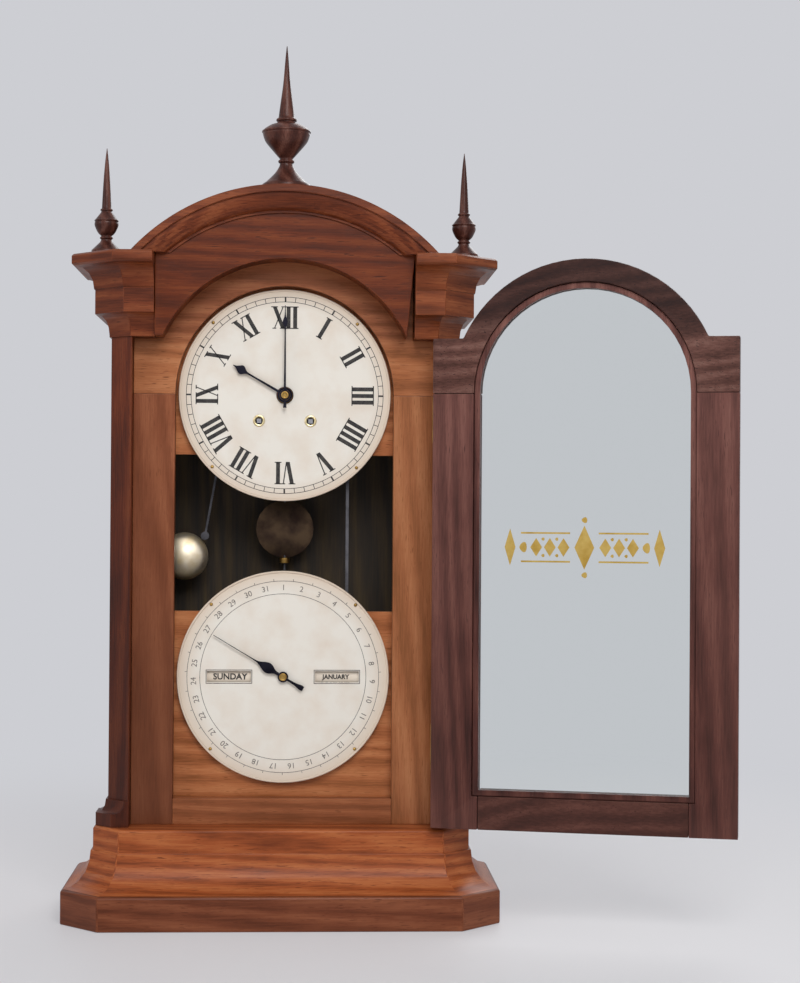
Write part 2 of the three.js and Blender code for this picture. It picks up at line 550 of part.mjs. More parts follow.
// Movement plates: the back plate carries pillars, feet and the pendulum cock
const plateShape = polygon([[-PLATE_HALF, DIAL_Z - PLATE_DROP], [PLATE_HALF, DIAL_Z - PLATE_DROP],
  [PLATE_HALF, DIAL_Z + PLATE_RISE], [-PLATE_HALF, DIAL_Z + PLATE_RISE]]);
const pivots = [[thirdAt, ARBOR_RADIUS], [escapeAt, ARBOR_RADIUS], [vergeAt, ARBOR_RADIUS],
  [hammerAt, ARBOR_RADIUS], [[0, 0], CENTRE_ARBOR_RADIUS], [timeAt, WINDING_RADIUS],
  [strikeAt, WINDING_RADIUS]];
const pivotHoles = pivots.map(([at, radius]) =>
  arbor(radius + PIVOT_GAP, FRONT_PLATE - 5, BACK_PLATE + 9, at));
const minuteStud = arbor(2, FRONT_PLATE - 9, FRONT_PLATE + 1, minuteAt);
const frontPlate = cut(sheet(plateShape, FRONT_PLATE, INSIDE), ...pivotHoles);
add('movement_front_plate', join(frontPlate, minuteStud), BRASS);
const pillarX = PLATE_HALF - PILLAR_INSET;
const corners = [-pillarX, pillarX].flatMap((x) =>
  [[x, PILLAR_INSET - PLATE_DROP], [x, PLATE_RISE - PILLAR_INSET]]);
const pillars = corners.map((at) => arbor(PILLAR_RADIUS, INSIDE, BACK_PLATE + 1, at));
const feet = corners.map((at) => arbor(PILLAR_RADIUS + 1, BACK_PLATE + 1, BACK_FACE, at));
const rodY = BACK_PLATE + PLATE + PENDULUM_BACK;
const cockEnd = rodY - 3;
const cock = cut(box(-5, 5, BACK_PLATE + 1, cockEnd, PENDULUM_Z - 5, PENDULUM_Z + 4),
  rod(ROD_RADIUS + 0.4, cockEnd - 4, cockEnd + 1, 0, PENDULUM_Z));
add('movement_back_plate', join(cut(sheet(plateShape, BACK_PLATE, BACK_PLATE + PLATE), ...pivotHoles),
  ...pillars, ...feet, cock), BRASS);

// Wheels on their arbors, from the great wheels to the escapement
const pivotFront = FRONT_PLATE + 0.2;
const pivotBack = BACK_PLATE + PLATE - 0.2;
const timePlane = [INSIDE + 3, INSIDE + 6];
const strikePlane = [INSIDE + 9, INSIDE + 12];
const springPlane = [INSIDE + 14, BACK_PLATE - 12];
const thirdPlane = [BACK_PLATE - 16, BACK_PLATE - 14];
const centrePlane = [BACK_PLATE - 9, BACK_PLATE - 7];
const escapePlane = [BACK_PLATE - 5, BACK_PLATE - 3];
function greatWheel(at, plane, angle) {
  return sheet(holed(toothed(WINDING.teeth, TRAIN_MODULE, angle, at), WINDING_RADIUS + 0.3, at), ...plane, 8);
}
add('time_great_wheel', greatWheel(timeAt, timePlane, facing(timeAt, [0, 0])), BRASS);
add('strike_great_wheel', greatWheel(strikeAt, strikePlane, facing(strikeAt, [0, 0])), BRASS);
// A flat spiral whose inner end is hooked to the arbor.
function mainspring(at) {
  const hook = WINDING_RADIUS - 1;
  const start = WINDING_RADIUS + 0.6;
  const steps = SPRING_TURNS * SPRING_STEPS;
  const edge = (offset) => Array.from({ length: steps + 1 }, (_, i) => {
    const radius = offset + (i ? start + ((SPRING_RADIUS - start - 1) * i) / steps : hook);
    const turn = (i / SPRING_STEPS) * 2 * Math.PI;
    return [at[0] + radius * Math.cos(turn), DIAL_Z + at[1] + radius * Math.sin(turn)];
  });
  return sheet(polygon([...edge(1), ...edge(0).reverse()]), ...springPlane);
}
function springArbor(at, plane) {
  const side = WINDING_RADIUS * 0.7;
  const ratchet = sheet(toothed(16, 0.9, 0, at), plane[1] + 0.3, plane[1] + 1.5);
  const square = box(at[0] - side, at[0] + side, DIAL_FRONT + 1, FRONT_PLATE - 1, DIAL_Z + at[1] - side,
    DIAL_Z + at[1] + side);
  return join(arbor(WINDING_RADIUS, FRONT_PLATE - 2, pivotBack, at), ratchet, square, mainspring(at));
}
add('time_mainspring_arbor', springArbor(timeAt, timePlane), STEEL);
add('strike_mainspring_arbor', springArbor(strikeAt, strikePlane), STEEL);
const cannonPlane = [FRONT_PLATE - 4.5, FRONT_PLATE - 1];
const hourPlane = [FRONT_PLATE - 8, FRONT_PLATE - 5.5];
const handTip = DIAL_FRONT - 8;
add('centre_arbor', join(arbor(CENTRE_ARBOR_RADIUS, handTip, pivotBack, [0, 0]),
  sheet(toothed(WINDING.pinion, TRAIN_MODULE, gapAngle([0, 0], timeAt, WINDING.pinion), [0, 0]),
    timePlane[0] - 1, timePlane[1] + 1),
  sheet(toothed(CENTRE.teeth, CENTRE_MODULE, facing([0, 0], thirdAt), [0, 0]), ...centrePlane)), BRASS);
// A pipe about the centre arbor, from the front plate side to a hand.
function pipe(inner, outer, front, back) {
  return turned([[inner, front], [outer, front], [outer, back], [inner, back], [inner, front]], 0, DIAL_Z);
}
const cannonTip = DIAL_FRONT - 7;
const cannonCog = toothed(CANNON_TEETH, MOTION_MODULE, gapAngle([0, 0], minuteAt, CANNON_TEETH), [0, 0]);
add('cannon_pinion', join(pipe(CANNON_BORE, CANNON_PIPE, cannonTip, cannonPlane[1]),
  sheet(holed(cannonCog, CANNON_BORE + 0.5, [0, 0]), ...cannonPlane, 8)), BRASS);
add('minute_wheel', join(
  sheet(holed(toothed(MINUTE_TEETH, MOTION_MODULE, facing(minuteAt, [0, 0]), minuteAt), 2.4, minuteAt),
    cannonPlane[0] + 0.5, cannonPlane[1] - 0.5, 8),
  sheet(holed(toothed(MINUTE_PINION, hourModule, gapAngle(minuteAt, [0, 0], MINUTE_PINION), minuteAt), 2.4,
    minuteAt), hourPlane[0], cannonPlane[0] + 1, 8)), BRASS);
const hourCog = toothed(HOUR_TEETH, hourModule, facing([0, 0], minuteAt), [0, 0]);
add('hour_wheel', join(pipe(HOUR_BORE, HOUR_PIPE, DIAL_FRONT - 4, hourPlane[1]),
  sheet(holed(hourCog, HOUR_BORE + 0.5, [0, 0]), hourPlane[0] + 0.5, hourPlane[1], 8)), BRASS);
add('third_wheel', join(arbor(ARBOR_RADIUS, pivotFront, pivotBack, thirdAt),
  sheet(toothed(CENTRE.pinion, CENTRE_MODULE, gapAngle(thirdAt, [0, 0], CENTRE.pinion), thirdAt),
    centrePlane[0] - 1, centrePlane[1] + 1),
  sheet(toothed(THIRD.teeth, THIRD_MODULE, facing(thirdAt, escapeAt), thirdAt), ...thirdPlane)), BRASS);
const hookPoints = Array.from({ length: ESCAPE_TEETH }, (_, i) => {
  const point = (turn, radius) => {
    const a = -((i + turn) * 2 * Math.PI) / ESCAPE_TEETH;
    return [escapeAt[0] + radius * Math.cos(a), DIAL_Z + escapeAt[1] + radius * Math.sin(a)];
  };
  return [point(0, ESCAPE_RADIUS), point(0.25, ESCAPE_RADIUS - 2)];
}).flat().reverse();
add('escape_wheel', join(arbor(ARBOR_RADIUS, pivotFront, pivotBack, escapeAt),
  sheet(toothed(THIRD.pinion, THIRD_MODULE, gapAngle(escapeAt, thirdAt, THIRD.pinion), escapeAt),
    thirdPlane[0] - 1, thirdPlane[1] + 1),
  sheet(polygon(hookPoints), ...escapePlane)), BRASS);

// Verge: anchor over the escape wheel, crutch and fork behind the back plate
const vergeZ = DIAL_Z + vergeAt[1];
const half = [[0, 4], [17, -5], [17.5, -10], [14.6, -9.4], [13, -6.5], [0, -2.5]];
const anchor = polygon([...half.slice().reverse(), ...half.slice(1, -1).map(([x, z]) => [-x, z])]
  .map(([x, z]) => [x, vergeZ + z]));
const crutchY = BACK_PLATE + PLATE + 2;
const forkZ = vergeZ - 36;
const fork = cut(box(-5, 5, crutchY, rodY + 2.5, forkZ, forkZ + 3),
  box(-ROD_RADIUS - 0.7, ROD_RADIUS + 0.7, rodY - ROD_RADIUS - 1, rodY + 4, forkZ - 1, forkZ + 4));
add('verge', join(arbor(ARBOR_RADIUS, pivotFront, crutchY + 1.5, vergeAt), sheet(anchor, ...escapePlane),
  box(-1.5, 1.5, crutchY, crutchY + 1.5, forkZ, vergeZ), fork), STEEL);

// Pendulum: rod with its suspension pin, bob and rating nut
const nutTop = BOB_Z - BOB_RADIUS - 0.3;
add('pendulum_rod', join(rod(ROD_RADIUS, cockEnd - 3.5, rodY, 0, PENDULUM_Z, 12),
  spindle([[0, nutTop - 12], [ROD_RADIUS, nutTop - 12], [ROD_RADIUS, PENDULUM_Z + 2], [0, PENDULUM_Z + 2]],
    0, rodY, 12)), STEEL);
const lens = [[0, -BOB_THICK / 2], [BOB_RADIUS * 0.6, -BOB_THICK * 0.38], [BOB_RADIUS, -1], [BOB_RADIUS, 1],
  [BOB_RADIUS * 0.6, BOB_THICK * 0.38], [0, BOB_THICK / 2]];
const boreFoot = BOB_Z - 2 * BOB_RADIUS;
const boreTop = BOB_Z + 2 * BOB_RADIUS;
const bobBore = spindle([[0, boreFoot], [ROD_RADIUS + 0.2, boreFoot], [ROD_RADIUS + 0.2, boreTop],
  [0, boreTop]], 0, rodY, 12);
add('pendulum_bob', cut(turned(lens.map(([r, y]) => [r, rodY + y]), 0, BOB_Z, 24), bobBore), BRASS);
const nutIn = ROD_RADIUS + 0.2;
add('rating_nut', spindle([[nutIn, nutTop - 5], [5, nutTop - 5], [5, nutTop], [nutIn, nutTop],
  [nutIn, nutTop - 5]], 0, rodY), BRASS);

// Bell on its stud, and the hammer that swings to its rim
const hammerY = BACK_PLATE + PLATE + 3;
const bellRim = hammerY + 2;
const bellFront = bellRim - BELL_DEPTH;
const dome = [[0, bellFront], [BELL_RADIUS * 0.35, bellFront + 1], [BELL_RADIUS * 0.75, bellFront + 5],
  [BELL_RADIUS * 0.93, bellFront + 10], [BELL_RADIUS, bellRim], [BELL_RADIUS - 1.6, bellRim],
  [BELL_RADIUS * 0.85, bellFront + 10.5], [BELL_RADIUS * 0.68, bellFront + 6.5],
  [BELL_RADIUS * 0.3, bellFront + 3], [3, bellFront + 2.6], [3, BACK_FACE], [0, BACK_FACE]];
add('bell', turned(dome, BELL_X, BELL_Z, 18), BELL_METAL);
const headRadius = 4;
const strikeReach = BELL_RADIUS + HAMMER_REST + headRadius;
const headX = BELL_X + strikeReach * Math.SQRT1_2;
const headZ = BELL_Z + strikeReach * Math.SQRT1_2;
const hammerZ = DIAL_Z + hammerAt[1];
const armAngle = Math.atan2(headZ - hammerZ, headX - hammerAt[0]);
const armLength = Math.hypot(headZ - hammerZ, headX - hammerAt[0]);
const arm = box(0, armLength, hammerY - 1, hammerY + 1, -1, 1).rotateY(-armAngle);
arm.translate(hammerAt[0], 0, hammerZ);
add('strike_hammer', join(arbor(ARBOR_RADIUS, pivotFront, hammerY + 1, hammerAt), arm,
  rod(headRadius, hammerY - 4, hammerY + 4, headX, headZ, 12)), STEEL);

// Calendar frame with roller ears, posts and rod guides
const framePlane = rollerY + ROLLER_RADIUS + 2;
const ears = [-earOuter - 2, -earInner, earInner - 2, earOuter].map((x) =>
  box(x, x + 2, rollerY - rollerArbor - 2, framePlane + 1, CALENDAR_Z - 5, CALENDAR_Z + 5));
const earBore = rod(rollerArbor + 0.3, -earOuter - 5, earOuter + 5, 0, 0, 12).rotateZ(Math.PI / 2);
earBore.translate(0, rollerY, CALENDAR_Z);
const standoffX = CALENDAR_HALF - PILLAR_INSET;
const standoffZ = CALENDAR_RISE - PILLAR_INSET;
const standoffs = [-standoffX, standoffX].flatMap((x) => [-standoffZ, standoffZ].map((z) =>
  rod(PILLAR_RADIUS, BOARD_BACK, framePlane + 1, x, CALENDAR_Z + z, 10)));
const liftY = framePlane + PLATE + 4;
const guides = [10, GUIDE_RISE - 7].map((rise) => box(LIFT_X - 5, LIFT_X + 5, framePlane + 1, liftY + 4,
  CALENDAR_Z + rise, CALENDAR_Z + rise + 5));
const liftRoom = LIFT_SIDE / 2 + 0.4;
const liftBore = box(LIFT_X - liftRoom, LIFT_X + liftRoom, liftY - liftRoom, liftY + liftRoom,
  CALENDAR_Z - CALENDAR_RISE, CALENDAR_Z + GUIDE_RISE * 2);
const frameTop = CALENDAR_Z + CALENDAR_RISE;
const guideTop = CALENDAR_Z + GUIDE_RISE;
const frameShape = polygon([[-CALENDAR_HALF, CALENDAR_Z - CALENDAR_RISE],
  [CALENDAR_HALF, CALENDAR_Z - CALENDAR_RISE], [CALENDAR_HALF, frameTop], [LIFT_X + 7, frameTop],
  [LIFT_X + 7, guideTop], [LIFT_X - 7, guideTop], [LIFT_X - 7, frameTop], [-CALENDAR_HALF, frameTop]]);
const dateArborHole = rod(DATE_ARBOR + 0.4, framePlane - 5, framePlane + 8, 0, CALENDAR_Z, 12);
add('calendar_frame', cut(join(sheet(frameShape, framePlane, framePlane + PLATE), ...ears, ...standoffs,
  ...guides), earBore, liftBore, dateArborHole), BRASS);

// Name rollers, date wheel and the lift rod from the clock
const rollerProfile = [[0, earInner - 2], [rollerArbor, earInner - 2], [rollerArbor, ROLLER_INNER],
  [ROLLER_RADIUS, ROLLER_INNER], [ROLLER_RADIUS, ROLLER_INNER + ROLLER_LENGTH],
  [rollerArbor, ROLLER_INNER + ROLLER_LENGTH], [rollerArbor, earOuter + 2], [0, earOuter + 2]];
const roller = turned(rollerProfile, 0, 0, 14).rotateZ(-Math.PI / 2).translate(0, rollerY, CALENDAR_Z);
add('month_roller', roller, PAPER);
add('day_roller', mirrored(roller), PAPER);
const datePoints = Array.from({ length: DATE_TEETH }, (_, i) => [[0, 0], [0.8, -1.8]].map(([turn, drop]) => {
  const a = ((i + turn) * 2 * Math.PI) / DATE_TEETH;
  return [(DATE_WHEEL_RADIUS + drop) * Math.cos(a), CALENDAR_Z + (DATE_WHEEL_RADIUS + drop) * Math.sin(a)];
})).flat();
add('date_wheel', join(rod(DATE_ARBOR, DIAL_FRONT - 5, framePlane + PLATE, 0, CALENDAR_Z, 12),
  sheet(polygon(datePoints), rollerY - 1, rollerY + 1)), BRASS);
const liftTop = DIAL_Z - PLATE_DROP + 10;
add('lift_rod', box(LIFT_X - LIFT_SIDE / 2, LIFT_X + LIFT_SIDE / 2, liftY - LIFT_SIDE / 2,
  liftY + LIFT_SIDE / 2, CALENDAR_Z - 5, liftTop), STEEL);

// Hands, drawn pointing to twelve and turned to the photographed time
function hand(length, tail, boss, bore, rise, degrees, z) {
  const front = DIAL_FRONT - rise;
  const back = front + HAND_THICK;
  const width = boss * HAND_ARM;
  const spade = length * 0.72;
  const side = [[width / 2, -tail], [width / 2, spade - 2 * width], [width * 1.6, spade],
    [width / 2, spade + 2 * width], [width / 8, length]];
  const outline = [...side, ...side.slice().reverse().map(([x, out]) => [-x, out])];
  const blank = join(sheet(polygon(outline), front, back), rod(boss, front, back, 0, 0, 20));
  const bored = cut(blank, rod(bore, front - 1, back + 1, 0, 0));
  return bored.rotateY(THREE.MathUtils.degToRad(degrees)).translate(0, 0, z);
}
add('hour_hand', hand(HOUR_HAND, 0, HOUR_BOSS, HOUR_PIPE + JOINT_GAP, HAND_RISE, HOUR_ANGLE, DIAL_Z),
  BLUED_STEEL);
add('minute_hand', hand(MINUTE_HAND, MINUTE_TAIL, MINUTE_BOSS, CANNON_PIPE + JOINT_GAP,
  HAND_RISE + MINUTE_RISE, 0, DIAL_Z), BLUED_STEEL);
add('date_hand', hand(DATE_HAND, DATE_TAIL, DATE_BOSS, DATE_ARBOR + JOINT_GAP, HAND_RISE, DATE_ANGLE,
  CALENDAR_Z), BLUED_STEEL);

// Door frame: four pieces cut from one arched outline with a ledge for the glass
function archedShape(halfWidth, bottom, radius) {
  const shape = polygon([[-halfWidth, bottom], [halfWidth, bottom], [halfWidth, DIAL_Z]]);
  shape.absarc(0, DIAL_Z, radius, 0, Math.PI, false);
  return shape;
}
const doorShoulder = BONNET_RISE - DOOR_TOP_GAP;
const shoulderAngle = Math.asin(doorShoulder / DOOR_ARCH);
const doorShape = polygon([[-DOOR_HALF, DOOR_BOTTOM], [DOOR_HALF, DOOR_BOTTOM],
  [DOOR_HALF, DIAL_Z + doorShoulder]]);
doorShape.absarc(0, DIAL_Z, DOOR_ARCH, shoulderAngle, Math.PI - shoulderAngle, false);
doorShape.lineTo(-DOOR_HALF, DIAL_Z + doorShoulder);
const sightBottom = DOOR_BOTTOM + DOOR_RAIL;
const glassSeat = POST_FRONT + DOOR_LIP;
const ledge = SIGHT_HALF + GLASS_LAP;
const doorBlank = cut(sheet(doorShape, POST_FRONT, DOOR_BACK),
  sheet(archedShape(SIGHT_HALF, sightBottom, SIGHT_HALF), POST_FRONT - 5, DOOR_BACK + 5),
  sheet(archedShape(ledge, sightBottom - GLASS_LAP, ledge), glassSeat, DOOR_BACK + 5));
function doorRegion(x0, x1, z0, z1) {
  return keep(doorBlank, box(x0, x1, POST_FRONT - 5, DOOR_BACK + 5, z0, z1));
}
const g = TURNED_GAP / 2;
const boltInner = DOOR_HALF - BOLT_LENGTH;
const boltLow = BOLT_Z - BOLT_HEIGHT / 2;
const boltHigh = BOLT_Z + BOLT_HEIGHT / 2;
const stemRadius = 2;
const stemRoom = stemRadius + 2 * BOLT_GAP;
const stemX = -boltInner - BOLT_TRAVEL - stemRoom;
const boltRoom = join(box(-DOOR_HALF - 1, -boltInner, BOLT_FRONT, BOLT_BACK, boltLow, boltHigh),
  box(stemX - BOLT_TRAVEL - stemRoom, stemX + stemRoom, POST_FRONT - 5, BOLT_FRONT + 1, BOLT_Z - stemRoom,
    BOLT_Z + stemRoom));
addToDoor('door_hinge_stile', doorRegion(SIGHT_HALF + g, DOOR_HALF + 5, DOOR_BOTTOM - 5, DIAL_Z - g),
  DARK_WALNUT);
addToDoor('door_latch_stile', cut(doorRegion(-DOOR_HALF - 5, -SIGHT_HALF - g, DOOR_BOTTOM - 5, DIAL_Z - g),
  boltRoom), DARK_WALNUT);
addToDoor('door_bottom_rail', doorRegion(-SIGHT_HALF + g, SIGHT_HALF - g, DOOR_BOTTOM - 5, sightBottom + 5),
  DARK_WALNUT);
addToDoor('door_arch_rail', doorRegion(-DOOR_HALF - 5, DOOR_HALF + 5, DIAL_Z + g, CAP_TOP * 2), DARK_WALNUT);
const paneHalf = ledge - TURNED_GAP;
const pane = archedShape(paneHalf, sightBottom - GLASS_LAP + TURNED_GAP, paneHalf);
const glassFront = glassSeat + TURNED_GAP;
const glassBack = glassFront + GLASS_THICK;
addToDoor('door_glass', sheet(pane, glassFront, glassBack), CLEAR_GLASS);
addToDoor('glazing_bead', cut(sheet(pane, glassBack + TURNED_GAP, glassBack + TURNED_GAP + BEAD_DEPTH),
  sheet(archedShape(SIGHT_HALF, sightBottom, SIGHT_HALF), glassBack - 5, DOOR_BACK + 5)), DARK_WALNUT);
const boltBar = box(-DOOR_HALF + BOLT_GAP, -boltInner - BOLT_GAP, BOLT_FRONT + BOLT_GAP,
  BOLT_BACK - BOLT_GAP, boltLow + BOLT_GAP, boltHigh - BOLT_GAP);
addToDoor('door_bolt', join(boltBar, rod(stemRadius, POST_FRONT - 3, BOLT_FRONT + 1, stemX, BOLT_Z, 12),
  turned([[0, POST_FRONT - 9], [3, POST_FRONT - 8.5], [4.5, POST_FRONT - 6], [3.5, POST_FRONT - 3],
    [2, POST_FRONT - 1], [0, POST_FRONT - 1]], stemX, BOLT_Z)), BRASS);

// Butt hinges: the case leaf holds the pin, the door leaf turns on the middle knuckle
function upright(radius, bottom, top, steps = 10) {
  return spindle([[0, bottom], [radius, bottom], [radius, top], [0, top]], hingeX, hingeY, steps);
}
function knuckle(bottom, top) {
  const bore = PIN_RADIUS + 0.3;
  return spindle([[bore, bottom], [KNUCKLE_RADIUS, bottom], [KNUCKLE_RADIUS, top], [bore, top],
    [bore, bottom]], hingeX, hingeY, 10);
}
const leafBack = DOOR_BACK - 4;
const tabFront = hingeY + (PIN_RADIUS + KNUCKLE_RADIUS + 0.3) / 2;
['lower', 'upper'].forEach((name, i) => {
  const middle = [DOOR_BOTTOM + HINGE_RISE, DIAL_Z - HINGE_DROP][i];
  const low = middle - HINGE_HEIGHT / 2;
  const high = middle + HINGE_HEIGHT / 2;
  const lowMid = low + HINGE_HEIGHT / 3;
  const highMid = high - HINGE_HEIGHT / 3;
  const leafX = [hingeX + 0.1, hingeX + 0.1 + LEAF_THICK];
  const plateFront = POST_FRONT + 0.2;
  add(`${name}_hinge_case_leaf`, join(box(...leafX, plateFront, leafBack, low, high),
    box(...leafX, tabFront, plateFront + 1, low, lowMid - g),
    box(...leafX, tabFront, plateFront + 1, highMid + g, high),
    upright(KNUCKLE_RADIUS, low, lowMid - g), upright(KNUCKLE_RADIUS, highMid + g, high),
    upright(PIN_RADIUS, low, high)), BRASS);
  const doorX = [hingeX - 0.1 - LEAF_THICK, hingeX - 0.1];
  addToDoor(`${name}_hinge_door_leaf`, join(box(...doorX, plateFront, leafBack, low, high),
    box(...doorX, tabFront, plateFront + 1, lowMid + g, highMid - g),
    knuckle(lowMid + g, highMid - g)), BRASS);
});

export default clock;
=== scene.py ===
# %% [markdown]
# A walnut shelf clock with two dials: the time above, the calendar below, its glazed door swung open.
# The joiner's solids come in as a fixed frame, in metres, with X to the right, Y to the back and Z up.
# Blender never moves them. It gives them finishes and eased edges, and adds what is printed, gilded,
# turned fine or screwed on.

# %% Load the frame
import json
import math

import bmesh
import bpy
from mathutils import Matrix, Vector


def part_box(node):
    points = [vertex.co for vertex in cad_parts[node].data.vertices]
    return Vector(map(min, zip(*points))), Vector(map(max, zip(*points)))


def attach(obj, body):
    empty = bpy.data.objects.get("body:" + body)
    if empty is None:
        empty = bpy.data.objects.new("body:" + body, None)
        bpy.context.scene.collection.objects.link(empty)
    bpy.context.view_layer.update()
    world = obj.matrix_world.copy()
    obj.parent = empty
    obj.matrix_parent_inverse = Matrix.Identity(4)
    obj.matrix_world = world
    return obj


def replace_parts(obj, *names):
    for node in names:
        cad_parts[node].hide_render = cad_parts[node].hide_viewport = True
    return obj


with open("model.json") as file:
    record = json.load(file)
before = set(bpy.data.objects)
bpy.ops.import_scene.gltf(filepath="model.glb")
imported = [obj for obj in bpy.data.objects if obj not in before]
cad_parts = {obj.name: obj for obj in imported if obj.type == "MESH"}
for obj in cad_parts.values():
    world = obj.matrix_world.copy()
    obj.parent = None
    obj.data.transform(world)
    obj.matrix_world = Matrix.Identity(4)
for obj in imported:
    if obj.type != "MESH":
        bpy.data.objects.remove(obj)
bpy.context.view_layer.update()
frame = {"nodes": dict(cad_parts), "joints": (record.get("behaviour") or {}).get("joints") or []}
nodes = frame["nodes"]
MM = 0.001

# %% [markdown]
# The camera stands where the photographer stood: a little to the right of the clock, at half its
# height, almost two metres away with a long lens. A long lens keeps upright lines upright, so no shift
# is needed. Yaw, pitch and roll come from lining up the case's corners with the picture.

# %% Camera
IMAGE_HEIGHT = 983
FOCAL_PIXELS = 2000
SENSOR = 36
CAMERA_AT = Vector((20.7, -1905.5, 383.5)) * MM
YAW, PITCH, ROLL = (math.radians(a) for a in (2.681, 0.486, 0.374))

forward = Vector((math.sin(YAW) * math.cos(PITCH), math.cos(YAW) * math.cos(PITCH), math.sin(PITCH)))
level = Vector((math.cos(YAW), -math.sin(YAW), 0))
upright = level.cross(forward)
right = level * math.cos(ROLL) + upright * math.sin(ROLL)
above = upright * math.cos(ROLL) - level * math.sin(ROLL)
camera = bpy.data.objects.new("camera", bpy.data.cameras.new("camera"))
camera.data.sensor_width = SENSOR
camera.data.lens = SENSOR * FOCAL_PIXELS / IMAGE_HEIGHT
camera.data.clip_end = 50
camera.matrix_world = Matrix.Translation(CAMERA_AT) @ Matrix((right, above, -forward)).transposed().to_4x4()
bpy.context.scene.collection.objects.link(camera)
bpy.context.scene.camera = camera
print("lens in mm", round(camera.data.lens, 1))

# %% [markdown]
# Every finish below is a small tree of shader nodes. One function adds a node: it sets what it is told to
# set, links what it is given and puts the stops on a colour ramp. One more turns a colour given in sRGB
# into the linear values that a shader works with. Node kinds that come up often get short names.

# %% Helpers for finishes
NOISE = "ShaderNodeTexNoise"
RAMP = "ShaderNodeValToRGB"
RANGE = "ShaderNodeMapRange"
MIX = "ShaderNodeMix"
MATH = "ShaderNodeMath"
VECTOR = "ShaderNodeVectorMath"
BUMP = "ShaderNodeBump"
PLACE = "ShaderNodeTexCoord"
GEOMETRY = "ShaderNodeNewGeometry"
SURFACE = "ShaderNodeBsdfPrincipled"
OUTPUT = "ShaderNodeOutputMaterial"


def linear(code):
    parts = [int(code[i:i + 2], 16) / 255 for i in (1, 3, 5)]
    return [c / 12.92 if c <= 0.04045 else ((c + 0.055) / 1.055) ** 2.4 for c in parts] + [1]


def add(tree, kind, inputs=None, stops=(), **settings):
    made = tree.nodes.new(kind)
    for key, value in settings.items():
        setattr(made, key, value)
    for key, value in (inputs or {}).items():
        if isinstance(value, bpy.types.NodeSocket):
            tree.links.new(value, made.inputs[key])
        else:
            made.inputs[key].default_value = value
    for k, (position, code) in enumerate(stops):
        line = made.color_ramp.elements
        stop = line[k] if k < len(line) else line.new(position)
        stop.position = position
        stop.color = linear(code)
    return made


def blank(name):
    material = bpy.data.materials.new(name)
    material.use_nodes = True
    material.node_tree.nodes.clear()
    return material, material.node_tree


print("helpers ready")

# %% [markdown]
# The studio is a pale grey world. The camera, reflections and glass see it at full strength, so that the
# background is the colour it is written as, and it lights the clock more gently. Light Path tells the two
# kinds of ray apart.

# %% World
STUDIO_GREY = "#cdced3"
WORLD_LIGHT = 0.42


def seen_directly(tree):
    path = add(tree, "ShaderNodeLightPath")
    total = path.outputs["Is Camera Ray"]
    for ray in ("Is Glossy Ray", "Is Transmission Ray"):
        total = add(tree, MATH, {0: total, 1: path.outputs[ray]}, operation="MAXIMUM").outputs[0]
    return total


world = bpy.data.worlds.new("studio")
bpy.context.scene.world = world
world.use_nodes = True
tree = world.node_tree
tree.nodes.clear()
lamp_side = add(tree, "ShaderNodeBackground", {"Color": linear(STUDIO_GREY), "Strength": WORLD_LIGHT})
seen_side = add(tree, "ShaderNodeBackground", {"Color": linear(STUDIO_GREY), "Strength": 1})
sides = {0: seen_directly(tree), 1: lamp_side.outputs[0], 2: seen_side.outputs[0]}
both = add(tree, "ShaderNodeMixShader", sides)
add(tree, "ShaderNodeOutputWorld", {"Surface": both.outputs[0]})
print("world light", WORLD_LIGHT)

# %% [markdown]
# Near the clock the floor is a real matt surface, so it takes the shadow. Further out it fades into the
# studio's own grey, so no horizon shows. The fade follows the distance from the middle of the floor.

# %% Floor
FLOOR_GREY = "#f2efef"
FLOOR_REACH = 30
FLOOR_DROP = 0.2 * MM
FADE_FROM, FADE_TO, FADE_LEAST = 0.3, 1.3, 0.45

floor_finish, tree = blank("matt_studio_floor")
where = add(tree, GEOMETRY).outputs["Position"]
reach = add(tree, VECTOR, {0: where}, operation="LENGTH").outputs["Value"]
limits = {"Value": reach, "From Min": FADE_FROM, "From Max": FADE_TO, "To Min": FADE_LEAST}
fade = add(tree, RANGE, limits, interpolation_type="SMOOTHSTEP").outputs[0]
share = add(tree, MATH, {0: fade, 1: seen_directly(tree)}, operation="MULTIPLY").outputs[0]
matt = add(tree, SURFACE, {"Base Color": linear(FLOOR_GREY), "Roughness": 0.5}).outputs[0]
glow = add(tree, "ShaderNodeEmission", {"Color": linear(STUDIO_GREY), "Strength": 1}).outputs[0]
mixed = add(tree, "ShaderNodeMixShader", {0: share, 1: matt, 2: glow})
add(tree, OUTPUT, {"Surface": mixed.outputs[0]})

floor_mesh = bpy.data.meshes.new("floor")
shape = bmesh.new()
bmesh.ops.create_grid(shape, x_segments=4, y_segments=4, size=FLOOR_REACH)
shape.to_mesh(floor_mesh)
shape.free()
floor = bpy.data.objects.new("floor", floor_mesh)
floor.location.z = -FLOOR_DROP
floor_mesh.materials.append(floor_finish)
bpy.context.scene.collection.objects.link(floor)
print("floor reach in m", FLOOR_REACH)

# %% [markdown]
# Three soft lamps light the clock. The broad key hangs in front, above the camera, so the faces turned
# to us are bright and the canted corners fall away. A weaker one fills from the left, and a low one
# behind lifts the floor, with little sheen of its own.

# %% Lamps
MIDDLE = Vector((0.05, 0, 0.38))


def soft_lamp(name, place, size, power, sheen=1):
    data = bpy.data.lights.new(name, "AREA")
    data.size = size
    data.energy = power
    data.specular_factor = sheen
    lamp = bpy.data.objects.new(name, data)
    lamp.location = place
    lamp.rotation_euler = (MIDDLE - Vector(place)).to_track_quat("-Z", "Y").to_euler()
    bpy.context.scene.collection.objects.link(lamp)


